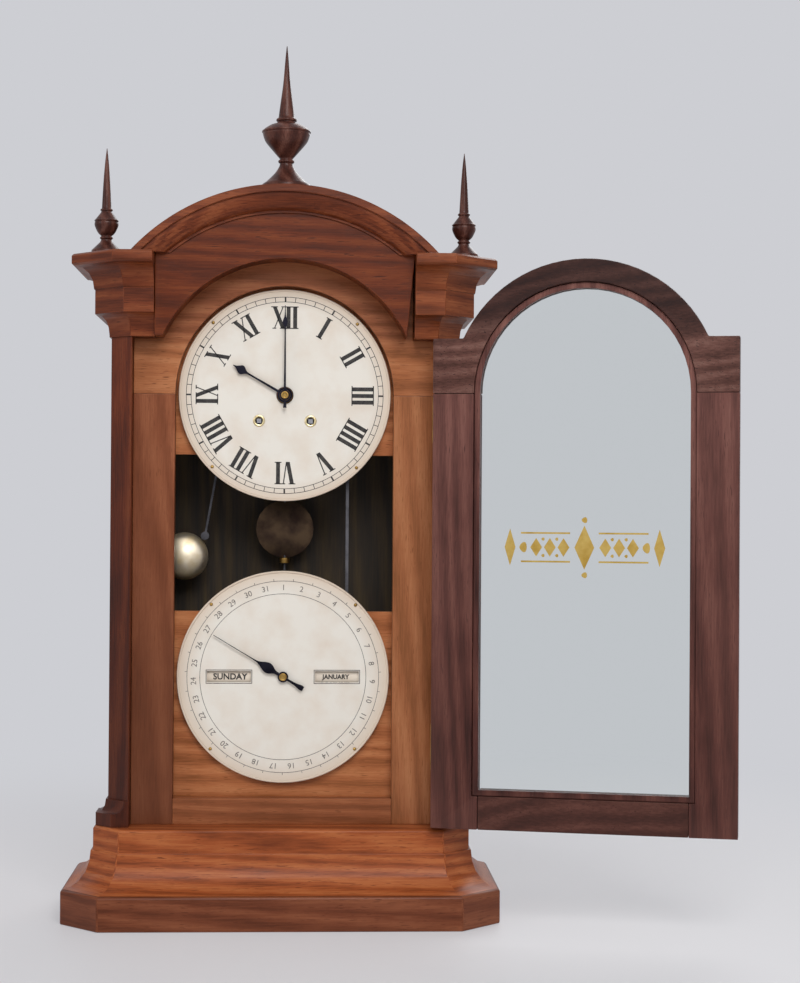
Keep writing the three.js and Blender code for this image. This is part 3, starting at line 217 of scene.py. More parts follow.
soft_lamp("key_lamp", (0.3, -2.3, 2.0), 1.5, 50)
soft_lamp("fill_lamp", (-2.0, -1.3, 1.1), 1.2, 9)
soft_lamp("back_lamp", (0.9, 1.9, 1.7), 1.4, 18, sheen=0.2)

# %% [markdown]
# Wood is drawn out along its grain, so the space that its patterns live in is squeezed that way. A plain
# board has one grain direction. A moulding that goes round a corner is mitred, so on each side its grain
# runs level along that side: the direction across both the upright and the face's own normal. A level
# face has no such direction, and a slight lean gives it X.

# %% Grain of the wood
DRAWN_OUT = 0.06
GRAIN_DRAW = {"X": (DRAWN_OUT, 1, 1), "Y": (1, DRAWN_OUT, 1), "Z": (1, 1, DRAWN_OUT)}
UP = (0, 0, 1)
SLIGHT_LEAN = (0.001, 0, 0)


def grain_space(tree, place, grain):
    if grain in GRAIN_DRAW:
        return add(tree, "ShaderNodeMapping", {"Vector": place, "Scale": GRAIN_DRAW[grain]}).outputs[0]
    face = add(tree, GEOMETRY).outputs["True Normal"]
    side = add(tree, VECTOR, {0: UP, 1: face}, operation="CROSS_PRODUCT").outputs[0]
    leant = add(tree, VECTOR, {0: side, 1: SLIGHT_LEAN}, operation="ADD").outputs[0]
    run = add(tree, VECTOR, {0: leant}, operation="NORMALIZE").outputs[0]
    deep = add(tree, VECTOR, {0: UP, 1: run}, operation="CROSS_PRODUCT").outputs[0]
    along = add(tree, VECTOR, {0: place, 1: run}, operation="DOT_PRODUCT").outputs["Value"]
    across = add(tree, VECTOR, {0: place, 1: deep}, operation="DOT_PRODUCT").outputs["Value"]
    height = add(tree, "ShaderNodeSeparateXYZ", {0: place}).outputs["Z"]
    turned = add(tree, "ShaderNodeCombineXYZ", {0: along, 1: across, 2: height}).outputs[0]
    return add(tree, "ShaderNodeMapping", {"Vector": turned, "Scale": GRAIN_DRAW["X"]}).outputs[0]


print("grain directions", [*GRAIN_DRAW, "level"])

# %% [markdown]
# The growth rings of a board show as bands. A band pattern gives them, and a slow warp, taken in the same
# drawn-out space, keeps them from being evenly spaced. Blender's bands repeat every tenth of pi, so that
# over the real spacing is the scale. A noise mostly stays between 0.3 and 0.7, which is the range that the
# finishes below read from it.

# %% Growth rings
RING_SPACING = 9 * MM
RING_WARP = 45 * MM
CLOUD_SIZE = 70 * MM
BAND_PERIOD = math.pi / 10
NOISE_RANGE = {"From Min": 0.3, "From Max": 0.7}


def growth_rings(tree, drawn):
    slow = add(tree, NOISE, {"Vector": drawn, "Scale": 1 / CLOUD_SIZE, "Detail": 1}).outputs["Color"]
    shift = add(tree, VECTOR, {0: slow, 1: (RING_WARP,) * 3}, operation="MULTIPLY").outputs[0]
    warped = add(tree, VECTOR, {0: drawn, 1: shift}, operation="ADD").outputs[0]
    bands = {"Vector": warped, "Scale": BAND_PERIOD / RING_SPACING, "Distortion": 7, "Detail": 3,
             "Detail Scale": 0.6}
    return add(tree, "ShaderNodeTexWave", bands, bands_direction="DIAGONAL").outputs["Fac"]


print("ring spacing in mm", RING_SPACING / MM)

# %% [markdown]
# Walnut, planed, stained and shellacked. To the eye it is brown with a darker figure that runs along
# the board, fine fibres, short dark pores and a soft gloss that is duller where hands and dust have
# been. Its edges are rubbed lighter. One noise gives the fibres, a finer one the pores and a broad one the
# clouds. Real pores are 0.3 mm wide; here they are drawn at 0.7 mm so that they show. Where a piece has
# painted shade over part of its height, the same figure is coloured in a second tone and the two are
# blended by height.

# %% Walnut
FIBRE_WIDTH = 1.4 * MM
PORE_WIDTH = 0.7 * MM
FIBRE_SHARE, CLOUD_SHARE = 0.68, 0.35
TONE_STOPS = (0.3, 0.5, 0.7)
PORE_EDGE = {"From Min": 0.62, "From Max": 0.72}
RUBBED_EDGE = {"From Min": 0.53, "From Max": 0.62, "To Max": 0.4}
SHELLAC_GLOSS = 0.36


def walnut(name, tones, grain, gloss=SHELLAC_GLOSS, below=None):
    material, tree = blank(name)
    place = add(tree, PLACE).outputs["Object"]
    drawn = grain_space(tree, place, grain)
    fibres = add(tree, NOISE, {"Vector": drawn, "Scale": 1 / FIBRE_WIDTH, "Detail": 3}).outputs[0]
    clouds = add(tree, NOISE, {"Vector": place, "Scale": 1 / CLOUD_SIZE, "Detail": 2}).outputs[0]
    pores = add(tree, NOISE, {"Vector": drawn, "Scale": 1 / PORE_WIDTH, "Detail": 1}).outputs[0]
    pits = add(tree, RANGE, {"Value": pores, **PORE_EDGE}).outputs[0]
    figure = add(tree, MIX, {"Factor": FIBRE_SHARE, 2: growth_rings(tree, drawn), 3: fibres}).outputs[0]
    figure = add(tree, MIX, {"Factor": CLOUD_SHARE, 2: figure, 3: clouds}).outputs[0]
    colour = add(tree, RAMP, {"Fac": figure}, zip(TONE_STOPS, tones)).outputs[0]
    # Painted shade: a second tone of the same figure, blended in by height.
    if below:
        lower_tones, start, stop = below
        height = add(tree, "ShaderNodeSeparateXYZ", {0: place}).outputs["Z"]
        share = add(tree, RANGE, {"Value": height, "From Min": start, "From Max": stop}).outputs[0]
        lower = add(tree, RAMP, {"Fac": figure}, zip(TONE_STOPS, lower_tones)).outputs[0]
        colour = add(tree, MIX, {"Factor": share, 6: colour, 7: lower}, data_type="RGBA").outputs[2]
    colour = add(tree, MIX, {"Factor": pits, 6: colour, 7: linear(tones[0])}, data_type="RGBA").outputs[2]
    edges = add(tree, GEOMETRY).outputs["Pointiness"]
    rubbed = add(tree, RANGE, {"Value": edges, **RUBBED_EDGE}).outputs[0]
    colour = add(tree, MIX, {"Factor": rubbed, 6: colour, 7: linear(tones[2])}, data_type="RGBA").outputs[2]
    dulled = {"To Min": gloss - 0.06, "To Max": gloss + 0.1}
    dull = add(tree, RANGE, {"Value": clouds, **NOISE_RANGE, **dulled}).outputs[0]
    relief = add(tree, MATH, {0: fibres, 1: pits}, operation="SUBTRACT").outputs[0]
    bump = add(tree, BUMP, {"Height": relief, "Strength": 0.12, "Distance": 0.3 * MM}).outputs[0]
    shellac = {"Specular IOR Level": 0.16, "Coat Weight": 0.04, "Coat Roughness": 0.2}
    shader = add(tree, SURFACE, {"Base Color": colour, "Roughness": dull, "Normal": bump, **shellac})
    add(tree, OUTPUT, {"Surface": shader.outputs[0]})
    return material


print("pore width in mm", PORE_WIDTH / MM)

# %% [markdown]
# One tree gives many browns, and some tones here hold painted light and shade. The base and the right of the
# face are lightest. The bonnet is dark, partly as painted shade under the hood; the door is darkened as
# painted shade on its inner face; the right cap is lighter than the left as painted light. The left stile,
# the posts and the door carry painted shade that deepens towards their feet, the arch carries painted
# shade under the bonnet, and the bottom rail is darkened as painted shade beside the base. Each tone is
# the dark, the middle and the light of the figure.

# %% Tones of the walnut
FACE = ("#71401f", "#965a37", "#ae734c")
DEEP = ("#542815", "#703b24", "#874f34")
# The left stile's top; SHADED below is its foot, darkened as painted shade.
LEFT_STILE_TOP = ("#623018", "#80462b", "#985c3d")
SHADED = ("#47210f", "#5f311c", "#74432b")
# The arch's top is darkened as painted shade under the bonnet; ARCH_FOOT is its lighter foot.
ARCH = ("#683719", "#894e30", "#a16542")
ARCH_FOOT = ("#7a4624", "#a1623c", "#b97c53")
# Dark partly as painted shade from the hood above.
BONNET = ("#3f1605", "#5f270d", "#773a19")
# The right cap is lighter than the left as painted light on the right of the upper case.
LEFT_CAP = ("#4a1f0e", "#6d331a", "#87492a")
RIGHT_CAP = ("#542612", "#7a3d20", "#955533")
POST = ("#431a0b", "#632b15", "#7a3f23")
# The posts' feet, darkened as painted shade.
POST_SHADED = ("#2d1006", "#461b0c", "#5a2a15")
BASE = ("#6f3519", "#9a4f28", "#b3693c")
# The bottom rail, darkened a little as painted shade beside the base.
RAIL = ("#68371b", "#8a4e2e", "#a26541")
DIAL_BOARD = ("#7a4420", "#a5623a", "#ba7a4e")
# The door's tones are darkened as painted shade on its inner face, most at its feet and at the top of the
# arch.
DOOR_STILE = ("#402420", "#623c36", "#7c534a")
DOOR_SHADED = ("#2f1713", "#4c2923", "#643d34")
DOOR_ARCH = ("#201110", "#341d18", "#482d27")
DOOR_EARS = ("#40261f", "#613f37", "#7c5a50")
DOOR_RAIL = ("#2b1612", "#44261f", "#5e3a31")
FINIAL = ("#2f1813", "#4c2a22", "#6d473c")
FINIAL_GLOSS = 0.3

SHADE_RISE = 130 * MM

stile_low, stile_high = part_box("face_left_stile")
door_low, door_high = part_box("door_latch_stile")
arch_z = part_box("face_arch")[0].z
ear_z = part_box("door_arch_rail")[0].z
# Heights over which the painted shade blends in.
DOWN_THE_STILE = (stile_high.z, stile_low.z + SHADE_RISE)
DOWN_THE_ARCH = (arch_z + 57 * MM, arch_z + 43 * MM)
DOWN_THE_DOOR = (door_high.z, door_low.z + SHADE_RISE)
DOWN_TO_THE_EARS = (ear_z + 70 * MM, ear_z + 45 * MM)
face_upright = walnut("walnut_face_upright", FACE, "Z")
side_upright = walnut("walnut_side_upright", DEEP, "Z")
left_stile = walnut("walnut_left_stile", LEFT_STILE_TOP, "Z", below=(SHADED, *DOWN_THE_STILE))
post_upright = walnut("walnut_post_upright", POST, "Z", below=(POST_SHADED, *DOWN_THE_STILE))
face_arch = walnut("walnut_face_arch", ARCH, "X", below=(ARCH_FOOT, *DOWN_THE_ARCH))
rail_level = walnut("walnut_rail_level", RAIL, "X")
board_level = walnut("walnut_dial_board", DIAL_BOARD, "X")
bonnet_level = walnut("walnut_bonnet_level", BONNET, "level")
left_cap_level = walnut("walnut_cap_level", LEFT_CAP, "level")
right_cap_level = walnut("walnut_right_cap_level", RIGHT_CAP, "level")
roof_level = walnut("walnut_roof_level", LEFT_CAP, "Y")
base_level = walnut("walnut_base_level", BASE, "level")
plinth_level = walnut("walnut_plinth_level", DEEP, "level")
door_upright = walnut("walnut_door_upright", DOOR_STILE, "Z", below=(DOOR_SHADED, *DOWN_THE_DOOR))
door_arch = walnut("walnut_door_arch", DOOR_ARCH, "X", below=(DOOR_EARS, *DOWN_TO_THE_EARS))
door_level = walnut("walnut_door_level", DOOR_RAIL, "X")
finial_walnut = walnut("walnut_turned_finial", FINIAL, "Z", FINIAL_GLOSS)
print("walnut finishes", len([m for m in bpy.data.materials if "walnut" in m.name]))

# %% [markdown]
# The back is a plain pine board. Outside it is bare and has gone brown, with broad soft growth bands and
# a few darker streaks. Inside it is nearly black, as painted shade for the dark inside of the case. One board
# has both, so the colour changes where the depth passes the middle of its thickness.

# %% Pine back
PINE_OUTSIDE = ("#6e4628", "#895a37", "#9f7048")
# The inside tone is painted shade.
PINE_IN_PAINTED_SHADE = ("#1b1206", "#30220e", "#433316")
PINE_STOPS = (0.25, 0.5, 0.75)
STREAK_WIDTH = 2.2 * MM
STREAK_SHARE = 0.66
back_low, back_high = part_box("back_board")

back_pine, tree = blank("aged_pine_back")
place = add(tree, PLACE).outputs["Object"]
drawn = grain_space(tree, place, "Z")
streaks = add(tree, NOISE, {"Vector": drawn, "Scale": 1 / STREAK_WIDTH, "Detail": 4}).outputs[0]
figure = add(tree, MIX, {"Factor": STREAK_SHARE, 2: growth_rings(tree, drawn), 3: streaks}).outputs[0]
outside = add(tree, RAMP, {"Fac": figure}, zip(PINE_STOPS, PINE_OUTSIDE)).outputs[0]
inside = add(tree, RAMP, {"Fac": figure}, zip(PINE_STOPS, PINE_IN_PAINTED_SHADE)).outputs[0]
depth = add(tree, "ShaderNodeSeparateXYZ", {0: place}).outputs["Y"]
halfway = (back_low.y + back_high.y) / 2
beyond = add(tree, MATH, {0: depth, 1: halfway}, operation="GREATER_THAN").outputs[0]
colour = add(tree, MIX, {"Factor": beyond, 6: inside, 7: outside}, data_type="RGBA").outputs[2]
bump = add(tree, BUMP, {"Height": streaks, "Strength": 0.2, "Distance": 0.4 * MM}).outputs[0]
shader = add(tree, SURFACE, {"Base Color": colour, "Roughness": 0.68, "Normal": bump})
add(tree, OUTPUT, {"Surface": shader.outputs[0]})
print("back board thickness in mm", round((back_high.y - back_low.y) / MM, 1))

# %% [markdown]
# The metals: lacquered sheet brass in the movement and the fittings, cast bell metal, steel that is bright
# on the arbors and oiled dark on the rods, and blued steel for the hands. Each is a metal with its default
# index, a base colour from a clean patch of the real thing, and a roughness that a smear of old oil and
# lacquer makes uneven. Scratches are drawn half a millimetre wide so that they show.

# %% Metals
SMEAR_SIZE = 14 * MM
SCRATCH_WIDTH = 0.5 * MM


def metal(name, clean, tarnish, rough):
    material, tree = blank(name)
    place = add(tree, PLACE).outputs["Object"]
    smear = add(tree, NOISE, {"Vector": place, "Scale": 1 / SMEAR_SIZE, "Detail": 4}).outputs[0]
    fine = add(tree, NOISE, {"Vector": place, "Scale": 1 / SCRATCH_WIDTH, "Detail": 2}).outputs[0]
    tone = add(tree, RAMP, {"Fac": smear}, [(0.35, tarnish), (0.62, clean)]).outputs[0]
    dulled = {"To Min": rough + 0.14, "To Max": rough - 0.04}
    dull = add(tree, RANGE, {"Value": smear, **NOISE_RANGE, **dulled}).outputs[0]
    bump = add(tree, BUMP, {"Height": fine, "Strength": 0.08, "Distance": 0.1 * MM}).outputs[0]
    shader = add(tree, SURFACE, {"Base Color": tone, "Metallic": 1, "Roughness": dull, "Normal": bump})
    add(tree, OUTPUT, {"Surface": shader.outputs[0]})
    return material


brass = metal("lacquered_brass", "#bd9a58", "#8c6d3a", 0.32)
polished_brass = metal("polished_brass", "#ead9ac", "#d2bb84", 0.26)
# The bob's dark brass is partly tarnish and partly painted shade, as it hangs deep in the case.
bob_brass_in_shade = metal("tarnished_brass_painted_shade", "#63503e", "#463730", 0.45)
bell_metal = metal("cast_bell_metal", "#fbeed6", "#e6d2aa", 0.5)
steel = metal("bright_steel", "#a4a4a8", "#77777b", 0.3)
oiled_steel = metal("oiled_steel", "#666568", "#47464a", 0.4)
blued = metal("blued_steel", "#2b2a33", "#191820", 0.34)
gold_leaf = metal("gold_leaf", "#d3b467", "#b08f45", 0.38)
print("metals", [m.name for m in (brass, bell_metal, steel, blued, gold_leaf)])

# %% [markdown]
# The dials are printed paper pasted on zinc pans. Old paper is cream, toned towards tan at its rim and
# clouded with faint stains, with no gloss at all. The rim's tone follows the distance from the dial's
# own centre, so each dial has a finish of its own. The paper's grain is drawn at 0.8 mm so that it shows.

# %% Dial paper
STAIN_SIZE = 26 * MM
PAPER_GRAIN = 0.8 * MM
CLEAN_PAPER, TONED_PAPER, ROLLER_PAPER = "#e4dfd5", "#cdb398", "#e2d6c6"
DIAL_LOW, DIAL_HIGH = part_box("time_dial")
DIAL_RADIUS = (DIAL_HIGH.x - DIAL_LOW.x) / 2
STAIN_EDGE = {"From Min": 0.42, "From Max": 0.8, "To Max": 0.4}
RIM_EDGE = {"From Min": 0.8 * DIAL_RADIUS, "From Max": 1.03 * DIAL_RADIUS, "To Max": 0.75}


def front_centre(node):
    low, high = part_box(node)
    return Vector(((low.x + high.x) / 2, low.y, (low.z + high.z) / 2))


def aged_paper(name, clean, centre=None):
    material, tree = blank(name)
    place = add(tree, PLACE).outputs["Object"]
    stain = add(tree, NOISE, {"Vector": place, "Scale": 1 / STAIN_SIZE, "Detail": 5}).outputs[0]
    grain = add(tree, NOISE, {"Vector": place, "Scale": 1 / PAPER_GRAIN, "Detail": 2}).outputs[0]
    amount = add(tree, RANGE, {"Value": stain, **STAIN_EDGE}).outputs[0]
    if centre:
        away = add(tree, VECTOR, {0: place, 1: centre}, operation="DISTANCE").outputs["Value"]
        rim = add(tree, RANGE, {"Value": away, **RIM_EDGE}).outputs[0]
        amount = add(tree, MATH, {0: amount, 1: rim}, operation="MAXIMUM").outputs[0]
    tones = {"Factor": amount, 6: linear(clean), 7: linear(TONED_PAPER)}
    colour = add(tree, MIX, tones, data_type="RGBA").outputs[2]
    bump = add(tree, BUMP, {"Height": grain, "Strength": 0.1, "Distance": 0.1 * MM}).outputs[0]
    shader = add(tree, SURFACE, {"Base Color": colour, "Roughness": 0.8, "Normal": bump})
    add(tree, OUTPUT, {"Surface": shader.outputs[0]})
    return material


time_paper = aged_paper("printed_paper_time", CLEAN_PAPER, front_centre("time_dial"))
calendar_paper = aged_paper("printed_paper_calendar", CLEAN_PAPER, front_centre("calendar_dial"))
roller_paper = aged_paper("printed_paper_roller", ROLLER_PAPER)
print("dial radius in mm", round(DIAL_RADIUS / MM, 1))

# %% [markdown]
# Printer's ink sinks into paper, so it is nearly black, matt and a little uneven, and on the calendar it
# has faded to grey. The door's pane is cylinder glass: clear, hard and faintly wavy. A slow noise on its
# normals bends what shows through.

# %% Ink and glass
INK_PATCH = 3 * MM
GLASS_WAVE = 60 * MM


def printing_ink(name, dark, light, rough):
    material, tree = blank(name)
    place = add(tree, PLACE).outputs["Object"]
    patch = add(tree, NOISE, {"Vector": place, "Scale": 1 / INK_PATCH, "Detail": 3}).outputs[0]
    tone = add(tree, RAMP, {"Fac": patch}, [(0.35, dark), (0.7, light)]).outputs[0]
    shader = add(tree, SURFACE, {"Base Color": tone, "Roughness": rough})
    add(tree, OUTPUT, {"Surface": shader.outputs[0]})
    return material


ink = printing_ink("printing_ink", "#1c1a1a", "#3d3936", 0.7)
faded_ink = printing_ink("faded_printing_ink", "#5b5652", "#857d76", 0.75)
pane, tree = blank("cylinder_glass")
place = add(tree, PLACE).outputs["Object"]
wave = add(tree, NOISE, {"Vector": place, "Scale": 1 / GLASS_WAVE, "Detail": 1}).outputs[0]
bump = add(tree, BUMP, {"Height": wave, "Strength": 0.15, "Distance": 1 * MM}).outputs[0]
clear = {"Base Color": linear("#eef2f1"), "Roughness": 0, "IOR": 1.5, "Transmission Weight": 1}
shader = add(tree, SURFACE, {**clear, "Normal": bump})
add(tree, OUTPUT, {"Surface": shader.outputs[0]})
print("ink and glass ready")

# %% [markdown]
# The joiner's solids have hard edges and flat facets. Four steps soften them without touching the mesh
# itself: weld the split corners, merge flat triangles into whole faces, ease every real edge, and shade
# smooth wherever two faces meet at a shallow angle. A real edge catches a thin line of light. Shading by
# angle is a small tree of geometry nodes, shared by every piece.

# %% Eased edges
SHALLOW = math.radians(38)
FLAT = math.radians(0.5)
SPLIT_CORNER = 0.02 * MM
EDGE_ROUNDS = 2

shade_tree = bpy.data.node_groups.new("shade_by_angle", "GeometryNodeTree")
for way in ("INPUT", "OUTPUT"):
    shade_tree.interface.new_socket("Geometry", in_out=way, socket_type="NodeSocketGeometry")
shade_in = add(shade_tree, "NodeGroupInput").outputs[0]
angle = add(shade_tree, "GeometryNodeInputMeshEdgeAngle").outputs["Unsigned Angle"]
steep = add(shade_tree, "FunctionNodeCompare", {0: angle, 1: SHALLOW}, operation="GREATER_THAN").outputs[0]
sharp = {"Mesh": shade_in, "Remove Custom": True, "Edge Sharpness": steep}
shaded = add(shade_tree, "GeometryNodeSetMeshNormal", sharp, mode="SHARPNESS")
add(shade_tree, "NodeGroupOutput", {0: shaded.outputs[0]})


def ease(piece, width):
    weld = piece.modifiers.new("weld", "WELD")
    weld.merge_threshold = SPLIT_CORNER
    whole = piece.modifiers.new("whole_faces", "DECIMATE")
    whole.decimate_type = "DISSOLVE"
    whole.angle_limit = FLAT
    if width:
        eased = piece.modifiers.new("eased_edges", "BEVEL")
        eased.width = width * MM
        eased.segments = EDGE_ROUNDS
        eased.limit_method = "ANGLE"
        eased.angle_limit = SHALLOW
    smooth = piece.modifiers.new("shade_by_angle", "NODES")
    smooth.node_group = shade_tree
    weighted = piece.modifiers.new("weighted_normals", "WEIGHTED_NORMAL")
    weighted.keep_sharp = True


print("edges steeper than", round(math.degrees(SHALLOW)), "degrees are eased")

# %% [markdown]
# Every solid now gets its finish and its eased edge, in millimetres. Mouldings that hands have rubbed are
# eased most, filed brass least, and the posts hardly at all, because a narrow land runs down each of them.

# %% Dress the solids
def dress(material, width, *names):
    for name in names:
        node = nodes[name]
        node.data.materials.clear()
        node.data.materials.append(material)
        ease(node, width)


dress(base_level, 1.2, "base_moulding")
dress(plinth_level, 1.2, "plinth")
dress(post_upright, 0.15, "left_corner_post", "right_corner_post")
dress(face_upright, 0.8, "right_side_board", "face_right_stile")
dress(side_upright, 0.8, "left_side_board")
dress(left_stile, 0.8, "face_left_stile")
dress(rail_level, 0.8, "face_bottom_rail")
dress(face_arch, 0.8, "face_arch")
dress(bonnet_level, 0.8, "bonnet_front", "bonnet_cornice")
dress(left_cap_level, 0.8, "left_cornice_cap")
dress(right_cap_level, 0.8, "right_cornice_cap")
dress(roof_level, 0.8, "bonnet_roof")
dress(back_pine, 0.6, "back_board")
dress(board_level, 0.6, "upper_dial_board", "lower_dial_board")
dress(door_upright, 1.0, "door_hinge_stile", "door_latch_stile")
dress(door_level, 1.0, "door_bottom_rail")
dress(door_arch, 1.0, "door_arch_rail")
dress(door_upright, 0.5, "glazing_bead")
dress(pane, 0, "door_glass")
dress(time_paper, 0.4, "time_dial")
dress(calendar_paper, 0.4, "calendar_dial")
dress(roller_paper, 0.3, "month_roller", "day_roller")
dress(blued, 0.25, "hour_hand", "minute_hand", "date_hand")
dress(bell_metal, 0.2, "bell")
dress(brass, 0.15, "movement_front_plate", "movement_back_plate", "time_great_wheel", "strike_great_wheel")
dress(brass, 0.15, "centre_arbor", "third_wheel", "escape_wheel")
dress(brass, 0.15, "cannon_pinion", "minute_wheel", "hour_wheel")
dress(brass, 0.15, "calendar_frame", "date_wheel", "rating_nut", "door_bolt")
for leaf in ("lower_hinge", "upper_hinge"):
    dress(brass, 0.15, leaf + "_case_leaf", leaf + "_door_leaf")
dress(bob_brass_in_shade, 0.4, "pendulum_bob")
dress(steel, 0.15, "time_mainspring_arbor", "strike_mainspring_arbor", "verge")
dress(oiled_steel, 0.15, "pendulum_rod", "strike_hammer", "lift_rod")
print("left for the lathe", [name for name, node in nodes.items() if not node.modifiers])

# %% [markdown]
# Finials, rims, pins and the bell are all turned on a lathe. Blender has a Screw modifier that does what a
# lathe does, but a short loop that spins a profile gives a clean closed mesh in one go. A profile is a list
# of radius and height, in millimetres, and a spline through a few points gives its curves. Where the
# radius is nothing, the ring is a single point. A hollow piece joins its last ring to its first.

# %% Lathe
SPIN_STEPS = 48
CURVE_STEPS = 5


def through(points, steps=CURVE_STEPS):
    line = []
    for i in range(len(points) - 1):
        near = [Vector(points[min(max(i + k, 0), len(points) - 1)]) for k in (-1, 0, 1, 2)]
        for s in range(steps):
            t = s / steps
            a = 2 * near[1]
            b = (near[2] - near[0]) * t
            c = (2 * near[0] - 5 * near[1] + 4 * near[2] - near[3]) * t * t
            d = (3 * near[1] - near[0] - 3 * near[2] + near[3]) * t ** 3
            line.append((a + b + c + d) / 2)
    return line + [Vector(points[-1])]


def new_piece(name, shape, material, body, face_out=True):
    mesh = bpy.data.meshes.new(name)
    if face_out:
        bmesh.ops.recalc_face_normals(shape, faces=shape.faces)
    shape.to_mesh(mesh)
    shape.free()
    mesh.materials.append(material)
    piece = bpy.data.objects.new(name, mesh)
    bpy.context.scene.collection.objects.link(piece)
    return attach(piece, body)


def spin(name, profile, centres, axis, material, body, steps=SPIN_STEPS, hollow=False):
    shape = bmesh.new()
    turn = Vector((0, 0, 1)).rotation_difference(Vector(axis)).to_matrix()
    for centre in centres:
        loops = []
        for radius, height in profile:
            angles = [2 * math.pi * k / steps for k in range(steps if radius > 0 else 1)]
            points = [Vector((radius * math.cos(a), radius * math.sin(a), height)) * MM for a in angles]
            loops.append([shape.verts.new(centre + turn @ point) for point in points])
        after = loops[1:] + loops[:1] if hollow else loops[1:]
        for low, high in zip(loops, after):
            for k in range(steps):
                below = [low[(k + i) % len(low)] for i in (0, 1)]
                over = [high[(k + i) % len(high)] for i in (1, 0)]
                shape.faces.new(dict.fromkeys(below + over)).smooth = True
    return new_piece(name, shape, material, body)


print("steps round the lathe", SPIN_STEPS)

# %% [markdown]
# A finial has a flared foot, a thin neck, a bulb and a long spire, with fine rings at the foot, the neck
# and over the bulb. A ring is half a circle of points in the profile. The centre one is taller than the
# two at the sides, and its foot goes a little into the curved roof that carries it.

# %% Finial profiles
BEAD_STEPS = 6
CENTRE_HEIGHT = 135.5


def ring_bead(radius, height, size):
    arc = [math.pi * k / BEAD_STEPS for k in range(BEAD_STEPS + 1)]
    return [(radius + size * math.sin(a), height - size * math.cos(a)) for a in arc]


CENTRE = [(0, -2), (22.6, -2), (22.6, 4), (22, 6),
          *through([(19, 8), (11, 16), (7, 22), (6, 25)]), *ring_bead(6, 27.5, 1.6),
          *through([(6, 30), (13, 38), (19.5, 46), (22, 53)]), *ring_bead(21.6, 55, 1.2),
          *through([(20.5, 57.5), (15, 61), (9, 63)]), *ring_bead(8.2, 66, 1.5),
          *through([(7.5, 68.5), (5.5, 84), (3.4, 100), (1.6, 122), (0.4, 134.5)]), (0, 135.4)]
SIDE = [(0, 0), (13.7, 0), (13.7, 4.4), (13, 5),
        *through([(10, 8), (6, 12), (5, 14)]), *ring_bead(5, 16, 1.1),
        *through([(5, 18), (8, 21), (10.8, 27), (11, 30)]), *ring_bead(10.4, 32, 0.8),
        *through([(9.6, 34), (6.5, 38), (5, 40)]), *ring_bead(4.8, 42, 1),
        *through([(4.4, 44), (3.9, 54), (2.9, 72), (1.6, 88), (0.3, 99)]), (0, 99.8)]
print("points in the profiles", len(CENTRE), len(SIDE))

# %% [markdown]
# Now the three finials are turned: one on the crown of the roof and one on each cornice cap. Each stands
# for a plainer solid, which is hidden here and stays in the physics.

# %% Turn the three finials
def turned_finial(name, node, profile, foot):
    low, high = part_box(node)
    centre = Vector(((low.x + high.x) / 2, (low.y + high.y) / 2, foot))
    piece = spin(name, profile, [centre], (0, 0, 1), finial_walnut, "case")
    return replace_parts(piece, node)


cap_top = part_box("left_cornice_cap")[1].z
roof_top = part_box("centre_finial")[1].z - CENTRE_HEIGHT * MM
turned_finial("turned_centre_finial", "centre_finial", CENTRE, roof_top)
turned_finial("turned_left_finial", "left_finial", SIDE, cap_top)
turned_finial("turned_right_finial", "right_finial", SIDE, cap_top)

# %% [markdown]
# The hood moulding over the bonnet is one run of moulding bent round the arch: a thin fillet, a hollow and
# a square lip. Its section is drawn once, as a distance from the arch's centre and a distance forward, and
# swept along the arch. The ends rest on the level tops of the cornice caps, so each line of the section
# stops at its own angle, where it reaches that level. Fine steps keep the arch round against the sky.

# %% Hood moulding
SWEEP_STEPS = 96
hood_low, hood_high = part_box("bonnet_cornice")
ARCH_AT = Vector((0, hood_high.y, front_centre("time_dial").z))
HOOD_OUT = (hood_high.z - ARCH_AT.z) / MM
HOOD_DEEP = (hood_high.y - hood_low.y) / MM
HOOD_IN, LIP_IN = HOOD_OUT - 25, HOOD_OUT - 7
FILLET, HOLLOW_WIDE, HOLLOW_STEPS, OFF_BONNET = 2, 16, 8, 0.05
HOLLOW_RISE = 0.94 * (HOOD_DEEP - 2 * FILLET)

bends = [math.pi / 2 * k / HOLLOW_STEPS for k in range(HOLLOW_STEPS + 1)]
hollow = [(LIP_IN - HOLLOW_WIDE * math.cos(a), FILLET + HOLLOW_RISE * math.sin(a)) for a in bends]
lip = [(LIP_IN, HOOD_DEEP - 0.6), (LIP_IN + 0.6, HOOD_DEEP),
       (HOOD_OUT - 0.8, HOOD_DEEP), (HOOD_OUT, HOOD_DEEP - 0.8)]
SECTION = [(HOOD_IN, OFF_BONNET), (HOOD_IN, FILLET), *hollow, *lip, (HOOD_OUT, OFF_BONNET)]
foot = (hood_low.z - ARCH_AT.z) / MM
shape = bmesh.new()
lines = []
for out, ahead in SECTION:
    stop = math.acos(foot / out)
    turns = [stop * (2 * k / SWEEP_STEPS - 1) for k in range(SWEEP_STEPS + 1)]
    points = [Vector((out * math.sin(a), -ahead, out * math.cos(a))) * MM for a in turns]
    lines.append([shape.verts.new(ARCH_AT + point) for point in points])
for near, far in zip(lines, lines[1:] + lines[:1]):
    for k in range(SWEEP_STEPS):
        shape.faces.new((near[k], near[k + 1], far[k + 1], far[k]))
for k in (0, -1):
    shape.faces.new([line[k] for line in lines])
# The hood takes the lighter left cap tone rather than the bonnet's, as painted light on its shaded hollow.
hood = new_piece("hood_moulding", shape, left_cap_level, "case")
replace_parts(hood, "bonnet_cornice")
ease(hood, 0)
print("hood radius in mm", round(HOOD_OUT, 1))

# %% [markdown]
# A pan dial has its edge turned over into a fine roll. A torus would be too plain and would sink into the
# pan, so the roll is one hollow profile, turned about an axis that points to the viewer.

